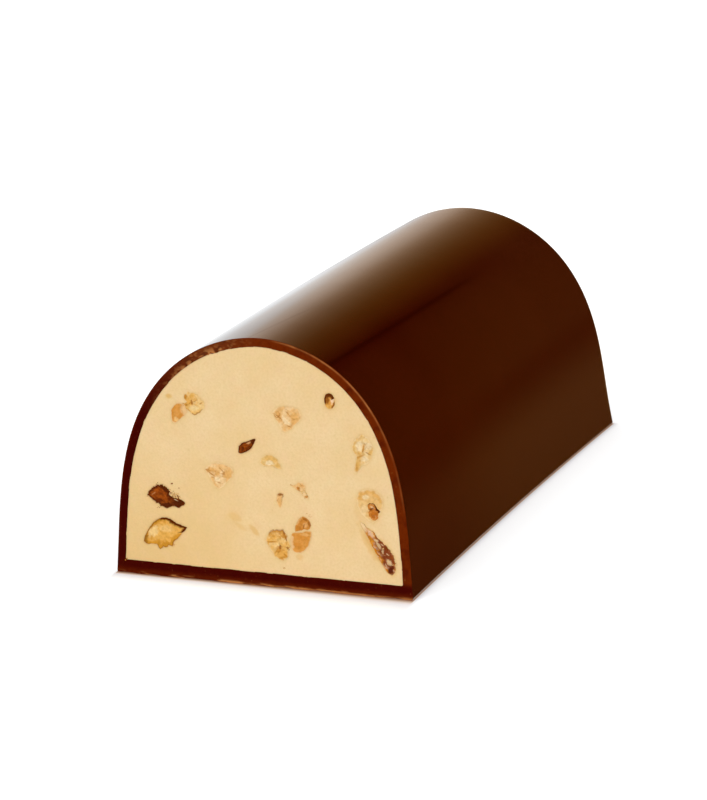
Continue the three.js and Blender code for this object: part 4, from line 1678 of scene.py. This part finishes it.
@dataclass(frozen=True)
class Crumbs:
    """Crumbs of one kind of nut that the knife left in the cut, each a small lumpy grain."""

    name: str
    kind: NutKind
    node: str
    patches: tuple[CrumbPatch, ...]
    seed: int
    rings: int = 5
    around: int = 9

    def build(self, form: LoafForm) -> bpy.types.Object:
        """Makes all the crumbs as one piece.

        Args:
            form: the loaf's form, whose frame the crumbs lie in.

        Returns:
            The crumbs' object.
        """
        random = np.random.default_rng(self.seed)
        grains = np.concatenate([self._grains(patch, random) for patch in self.patches])
        latitude = np.linspace(-np.pi / 2, np.pi / 2, self.rings + 2)
        turn = np.linspace(0.0, 2 * np.pi, self.around, endpoint=False)
        unit = np.stack([
            np.cos(latitude)[:, None] * np.cos(turn), np.cos(latitude)[:, None] * np.sin(turn),
            np.broadcast_to(np.sin(latitude)[:, None], (self.rings + 2, self.around)),
        ], axis=-1)
        across, along, tilt = grains[:, 2], grains[:, 3], grains[:, 4]
        size = np.stack([along, across, np.minimum(across, along)], axis=-1) / 2
        spots = unit[None] * 1.3 + grains[:, None, None, 0:1] * 7.0
        lumps = 1.0 + 0.35 * Grain(self.seed).layered(spots, 2)
        local = unit[None] * size[:, None, None] * lumps[..., None]
        cos, sin = np.cos(tilt)[:, None, None], np.sin(tilt)[:, None, None]
        points = np.stack([
            grains[:, 0, None, None] + local[..., 0] * cos - local[..., 1] * sin,
            -local[..., 2] * 0.6 - 0.01,
            grains[:, 1, None, None] + local[..., 0] * sin + local[..., 1] * cos,
        ], axis=-1)
        mesh = self._mesh(form.to_frame(points))
        return dressed(self.name, mesh, [self.kind.value.material()], self.node, extra=True)

    def _grains(self, patch: CrumbPatch, random: np.random.Generator) -> np.ndarray:
        """Grains scattered evenly over a patch's oval.

        Args:
            patch: the patch.
            random: what draws the numbers.

        Returns:
            A row of X, Z, width, length and tilt for each grain.
        """
        turn = random.uniform(0.0, 2 * np.pi, patch.count)
        far = np.sqrt(random.uniform(0.0, 1.0, patch.count))
        u, v = far * np.cos(turn) * patch.spread[0], far * np.sin(turn) * patch.spread[1]
        a = math.radians(patch.tilt)
        width = random.uniform(patch.smallest, patch.largest, patch.count)
        length = width * random.uniform(1.0, 2.0, patch.count)
        return np.stack([
            patch.at[0] + u * math.cos(a) - v * math.sin(a),
            patch.at[1] + u * math.sin(a) + v * math.cos(a),
            width, length, random.uniform(0.0, np.pi, patch.count),
        ], axis=-1)

    def _mesh(self, points: np.ndarray) -> bpy.types.Mesh:
        """One closed skin for each grain, from rings that shrink to a point at both ends.

        Args:
            points: the rings of each grain, in metres.

        Returns:
            The mesh of all the grains.
        """
        grains, rows, around = points.shape[:3]
        inner = points[:, 1:-1].reshape(grains, -1, 3)
        ends = np.stack([points[:, 0].mean(axis=1), points[:, -1].mean(axis=1)], axis=1)
        vertices = np.concatenate([inner, ends], axis=1)
        index = np.arange((rows - 2) * around).reshape(rows - 2, around)
        turned = np.roll(index, -1, axis=1)
        quads = np.stack([index[:-1], index[1:], turned[1:], turned[:-1]], axis=-1).reshape(-1, 4)
        low = np.stack([np.full(around, index.size), index[0], turned[0]], axis=-1)
        high = np.stack([np.full(around, index.size + 1), turned[-1], index[-1]], axis=-1)
        step = (np.arange(grains) * vertices.shape[1])[:, None, None]
        mesh = bpy.data.meshes.new(self.name)
        faces = [
            (block[None] + step).reshape(-1, block.shape[1]).tolist() for block in (quads, low, high)
        ]
        mesh.from_pydata(vertices.reshape(-1, 3).tolist(), [], faces[0] + faces[1] + faces[2])
        mesh.polygons.foreach_set("use_smooth", np.ones(len(mesh.polygons), dtype=bool))
        mesh.update()
        shade = np.random.default_rng(self.seed + 1).uniform(0.0, 1.0, grains)
        for layer in Layer:
            values = shade if layer is Layer.TONE else np.zeros(grains)
            add_pattern(mesh, layer.value, np.repeat(values, vertices.shape[1]))
        return mesh


def crumb_fields() -> tuple[Crumbs, ...]:
    """The crumbs that lie in the cut, by kind."""
    return (
        Crumbs("roasted_crumbs", NutKind.ROASTED, "roasted_nut_piece", (
            CrumbPatch((-11.6, 10.8), (0.9, 0.3), -30.0, 26, 0.06, 0.16),
            CrumbPatch((-13.2, 11.9), (1.6, 0.35), -20.0, 12, 0.04, 0.1),
            CrumbPatch((-15.1, 10.9), (0.4, 0.7), -30.0, 8, 0.04, 0.1),
            CrumbPatch((-13.0, 9.2), (1.4, 0.25), 5.0, 8, 0.04, 0.1),
            CrumbPatch((-12.1, 12.35), (0.05, 0.05), 0.0, 1, 0.14, 0.16),
            CrumbPatch((-11.1, 11.9), (0.05, 0.05), 0.0, 1, 0.1, 0.12),
            CrumbPatch((2.7, 12.2), (0.4, 0.2), 0.0, 6, 0.05, 0.12),
            CrumbPatch((16.9, 5.9), (1.9, 0.22), -55.0, 34, 0.06, 0.16),
            CrumbPatch((3.5, 5.2), (0.2, 0.3), 0.0, 4, 0.05, 0.12),
        ), 201),
        Crumbs("golden_crumbs", NutKind.HALF, "nut_half_upper", (
            CrumbPatch((5.1, 13.3), (0.5, 0.4), 0.0, 14, 0.06, 0.18),
            CrumbPatch((4.1, 13.55), (0.3, 0.05), -10.0, 3, 0.06, 0.1),
            CrumbPatch((6.1, 12.15), (0.35, 0.12), 20.0, 6, 0.06, 0.12),
            CrumbPatch((2.8, 2.7), (0.25, 0.1), -10.0, 4, 0.06, 0.12),
            CrumbPatch((6.4, 9.9), (0.4, 0.25), -20.0, 5, 0.04, 0.09),
            CrumbPatch((-10.1, 22.9), (0.3, 0.4), 0.0, 7, 0.06, 0.14),
            CrumbPatch((-12.3, 4.3), (1.2, 0.25), 15.0, 9, 0.05, 0.1),
            CrumbPatch((-18.7, 1.8), (0.3, 0.06), 45.0, 6, 0.08, 0.12),
            CrumbPatch((3.2, 6.4), (0.25, 0.7), 20.0, 9, 0.05, 0.1),
        ), 202),
        Crumbs("pale_crumbs", NutKind.PALE_CRISP, "crisp_piece_right", (
            CrumbPatch((-11.7, 10.95), (0.9, 0.35), -30.0, 20, 0.08, 0.22),
            CrumbPatch((16.6, 5.6), (1.7, 0.3), -55.0, 26, 0.07, 0.2),
            CrumbPatch((14.7, 8.3), (0.7, 0.25), -50.0, 10, 0.08, 0.2),
            CrumbPatch((5.6, 12.8), (0.5, 0.4), -40.0, 12, 0.08, 0.2),
        ), 203),
    )


@dataclass(frozen=True)
class View:
    """The photograph's viewpoint: angles in degrees, lengths in millimetres, from the cut's foot."""

    azimuth: float = 20.362
    elevation: float = 14.718
    roll: float = -0.829
    distance: float = 464.02
    right: float = 11.401
    up: float = 23.417
    focal_pixels: float = 3688.1
    picture_height: int = 800
    sensor: float = 36.0

    def build(self, form: LoafForm) -> None:
        """Makes the scene's camera.

        Args:
            form: the loaf's form, whose cut the viewpoint is measured from.
        """
        a, e, r = (math.radians(angle) for angle in (self.azimuth, self.elevation, self.roll))
        back = np.array([math.sin(a) * math.cos(e), -math.cos(a) * math.cos(e), math.sin(e)])
        flat = np.array([math.cos(a), math.sin(a), 0.0])
        high = np.cross(back, flat)
        right = flat * math.cos(r) + high * math.sin(r)
        up = -flat * math.sin(r) + high * math.cos(r)
        eye = form.to_frame(right * self.right + up * self.up + back * self.distance)
        camera = bpy.data.cameras.new("photo_view")
        camera.sensor_width = self.sensor
        camera.lens = self.focal_pixels * self.sensor / self.picture_height
        holder = bpy.data.objects.new("photo_view", camera)
        turned = np.eye(4)
        turned[:3, :3] = np.stack([right, up, back], axis=1)
        turned[:3, 3] = eye
        holder.matrix_world = Matrix(turned.tolist())
        bpy.context.scene.collection.objects.link(holder)
        bpy.context.scene.camera = holder


@dataclass(frozen=True)
class SoftLight:
    """A soft light from far off: where it comes from, how wide it is in degrees and how bright."""

    name: str
    azimuth: float
    elevation: float
    width: float
    brightness: float

    def build(self) -> None:
        """Makes the light, which lights surfaces but shows in no reflection.

        The azimuth counts from the front towards the right, as the view's does.
        """
        lamp = bpy.data.lights.new(self.name, "SUN")
        lamp.angle = math.radians(self.width)
        lamp.energy = math.pi * self.brightness
        holder = bpy.data.objects.new(self.name, lamp)
        a, e = math.radians(self.azimuth), math.radians(self.elevation)
        back = np.array([math.sin(a) * math.cos(e), -math.cos(a) * math.cos(e), math.sin(e)])
        right = np.array([math.cos(a), math.sin(a), 0.0])
        turned = np.eye(4)
        turned[:3, :3] = np.stack([right, np.cross(back, right), back], axis=1)
        turned[:3, 3] = back
        holder.matrix_world = Matrix(turned.tolist())
        holder.visible_camera = False
        holder.visible_glossy = False
        bpy.context.scene.collection.objects.link(holder)


class Studio:
    """A plain white floor, soft lights, and pale surroundings on the bar's left for its gloss."""

    FLOOR_SIDE = 12.0
    FLOOR_GLOW = 0.5
    FLOOR_WHITE = 0.93
    CONTACT_REACH = 8.0
    CONTACT_STOPS = (
        (0.0, (0.30, 0.17, 0.11)), (0.2, (0.34, 0.20, 0.13)), (0.6, (0.50, 0.38, 0.29)),
        (1.0, (0.64, 0.555, 0.50)), (1.35, (0.695, 0.64, 0.63)), (1.75, (0.73, 0.69, 0.69)),
        (2.35, (0.74, 0.74, 0.755)), (3.1, (0.79, 0.79, 0.79)), (3.9, (0.83, 0.82, 0.82)),
        (5.5, (0.93, 0.93, 0.93)), (8.0, (1.0, 1.0, 1.0)),
    )
    SIDE_COUNT = 7.0
    LEFT_COUNT = 13.0
    BACK_COUNT = 12.0
    FRONT_COUNT = 1.45
    FRONT_SLOPE = 0.022
    LIGHTS = (
        SoftLight("overhead", 0.0, 88.0, 110.0, 0.6),
        SoftLight("key", -30.0, 38.0, 50.0, 0.28),
        SoftLight("fill", 80.0, 30.0, 80.0, 0.08),
    )
    GLOSS = 1.6
    GLOSS_STOPS = (
        (-0.400, (0.14, 0.038, 0.001)), (-0.260, (0.10, 0.027, 0.0)), (-0.150, (0.075, 0.019, 0.0)),
        (-0.105, (0.045, 0.010, 0.0)), (-0.075, (0.045, 0.010, 0.0)), (-0.050, (0.07, 0.019, 0.0)),
        (-0.016, (0.11, 0.036, 0.001)), (0.088, (0.21, 0.09, 0.010)), (0.145, (0.275, 0.135, 0.028)),
        (0.200, (0.37, 0.21, 0.072)), (0.250, (0.49, 0.30, 0.14)), (0.296, (0.67, 0.45, 0.26)),
        (0.337, (0.89, 0.66, 0.46)), (0.370, (1.03, 0.81, 0.62)), (0.395, (1.09, 0.92, 0.76)),
        (0.415, (1.17, 1.10, 1.02)), (0.460, (1.24, 1.26, 1.27)), (0.560, (1.24, 1.26, 1.27)),
        (0.640, (0.60, 0.40, 0.24)), (0.800, (0.30, 0.15, 0.06)), (1.100, (0.20, 0.08, 0.02)),
    )
    GLOSS_START = -0.45
    GLOSS_SPAN = 1.6
    GLOSS_DIP = 0.8

    def build(self, form: LoafForm) -> None:
        """Makes the floor, the lights and the surroundings.

        Args:
            form: the loaf's form, for its footprint.
        """
        self._floor(form)
        for light in self.LIGHTS:
            light.build()
        self._surroundings()
        bpy.context.scene.view_settings.view_transform = "Standard"

    def _floor(self, form: LoafForm) -> None:
        """A wide white floor with a narrow warm shade along the bar's foot.

        It is left out of reflections, as a dark flag would hide it. The shade follows the distance to
        the footprint, counted more along the sides than in front, where it reaches further out.

        Args:
            form: the loaf's form, for its footprint.
        """
        half = self.FLOOR_SIDE / 2
        corners = [(-half, -half, 0.0), (half, -half, 0.0), (half, half, 0.0), (-half, half, 0.0)]
        mesh = bpy.data.meshes.new("floor")
        mesh.from_pydata(corners, [], [(0, 1, 2, 3)])
        floor = bpy.data.objects.new("floor", mesh)
        bpy.context.scene.collection.objects.link(floor)
        graph = Graph("white_floor")
        split = graph.add("ShaderNodeSeparateXYZ")
        graph.link(graph.position, split.inputs[0])
        half_length = form.length / 2
        along = graph.maths("ADD", split.outputs["Y"], -(form.cut_y + half_length) * MM)
        share = graph.times(along, 1.0 / (half_length * MM))
        bend = graph.times(graph.maths("MULTIPLY", share, share), form.bow * MM)
        straight = graph.maths("ADD", split.outputs["X"], -(form.centre_x + form.bow) * MM)
        aside = self._past(graph, graph.maths("ADD", straight, bend), form.width / 2)
        ahead = self._past(graph, along, half_length)
        behind = graph.times(graph.maths("GREATER_THAN", along, 0.0), self.BACK_COUNT)
        slope = graph.times(split.outputs["X"], -self.FRONT_SLOPE / MM)
        sloped = graph.maths("ADD", slope, self.FRONT_COUNT)
        end_count = graph.maths("ADD", sloped, behind)
        leftward = graph.times(graph.maths("LESS_THAN", split.outputs["X"], 0.0), self.LEFT_COUNT)
        side_count = graph.maths("ADD", leftward, self.SIDE_COUNT)
        counted = (graph.maths("MULTIPLY", aside, side_count), graph.maths("MULTIPLY", ahead, end_count))
        squares = [graph.maths("MULTIPLY", gap, gap) for gap in counted]
        away = graph.maths("SQRT", graph.maths("ADD", *squares))
        shade = graph.ramp(graph.times(away, 1.0 / (self.CONTACT_REACH * MM)), [
            (place / self.CONTACT_REACH, (*(self.FLOOR_WHITE * channel for channel in colour), 1.0))
            for place, colour in self.CONTACT_STOPS
        ])
        seen = graph.add("ShaderNodeLightPath").outputs["Is Camera Ray"]
        tint = graph.mix(seen, (*[self.FLOOR_WHITE] * 3, 1.0), shade)
        shader = graph.shader
        graph.link(tint, shader.inputs["Base Color"])
        graph.link(tint, shader.inputs["Emission Color"])
        shader.inputs["Roughness"].default_value = 1.0
        shader.inputs["Specular IOR Level"].default_value = 0.0
        shader.inputs["Emission Strength"].default_value = self.FLOOR_GLOW / self.FLOOR_WHITE
        mesh.materials.append(graph.material)
        floor.visible_glossy = False

    @staticmethod
    def _past(graph: Graph, place: Socket, reach: float) -> Socket:
        """How far a place on the floor lies past a reach to either side, or 0 within it."""
        off = graph.maths("ADD", graph.maths("ABSOLUTE", place), -reach * MM)
        return graph.maths("MAXIMUM", off, 0.0)

    def _surroundings(self) -> None:
        """Surroundings that show in gloss: white on the bar's left, through brown to dark on its right.

        How pale a direction is follows -x - dip * min(z, 0).
        """
        world = bpy.data.worlds.new("studio")
        bpy.context.scene.world = world
        world.use_nodes = True
        tree = world.node_tree
        tree.nodes.clear()
        direction = tree.nodes.new("ShaderNodeTexCoord").outputs["Generated"]
        split = tree.nodes.new("ShaderNodeSeparateXYZ")
        tree.links.new(direction, split.inputs[0])
        low = self._maths(tree, "MINIMUM", split.outputs["Z"], 0.0)
        dip = self._maths(tree, "MULTIPLY", low, -self.GLOSS_DIP)
        side = self._maths(tree, "MULTIPLY", split.outputs["X"], -1.0)
        total = self._maths(tree, "ADD", side, dip)
        shifted = self._maths(tree, "ADD", total, -self.GLOSS_START)
        scaled = self._maths(tree, "MULTIPLY", shifted, 1.0 / self.GLOSS_SPAN)
        ramp = tree.nodes.new("ShaderNodeValToRGB")
        for stop, _ in self.GLOSS_STOPS[2:]:
            ramp.color_ramp.elements.new(stop)
        for element, (stop, colour) in zip(ramp.color_ramp.elements, self.GLOSS_STOPS):
            element.position = (stop - self.GLOSS_START) / self.GLOSS_SPAN
            element.color = (*(channel / self.GLOSS for channel in colour), 1.0)
        tree.links.new(scaled, ramp.inputs[0])
        gloss = tree.nodes.new("ShaderNodeBackground")
        gloss.inputs["Strength"].default_value = self.GLOSS
        tree.links.new(ramp.outputs[0], gloss.inputs["Color"])
        plain = tree.nodes.new("ShaderNodeBackground")
        plain.inputs["Color"].default_value = (1.0, 1.0, 1.0, 1.0)
        seen = tree.nodes.new("ShaderNodeLightPath").outputs["Is Camera Ray"]
        both = tree.nodes.new("ShaderNodeMixShader")
        tree.links.new(seen, both.inputs[0])
        tree.links.new(gloss.outputs[0], both.inputs[1])
        tree.links.new(plain.outputs[0], both.inputs[2])
        output = tree.nodes.new("ShaderNodeOutputWorld")
        tree.links.new(both.outputs[0], output.inputs[0])
        world.cycles_visibility.diffuse = False

    @staticmethod
    def _maths(
        tree: bpy.types.NodeTree, operation: str, value: Socket, other: float | Socket
    ) -> Socket:
        """A sum or product of a socket and a number or another socket."""
        node = tree.nodes.new("ShaderNodeMath")
        node.operation = operation
        tree.links.new(value, node.inputs[0])
        if isinstance(other, float):
            node.inputs[1].default_value = other
        else:
            tree.links.new(other, node.inputs[1])
        return node.outputs[0]


def main() -> None:
    """Builds the bar and its studio."""
    logging.basicConfig(level=logging.INFO, format="%(name)s: %(message)s")
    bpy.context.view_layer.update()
    form = LoafForm.from_frame("chocolate_coating")
    View().build(form)
    ChocolateShell(form).build()
    nuts = nut_pieces()
    NougatLog(form, nuts).build()
    for piece in (*nuts, *crumb_fields()):
        piece.build(form)
    Studio().build(form)


if __name__ == "__main__":
    main()
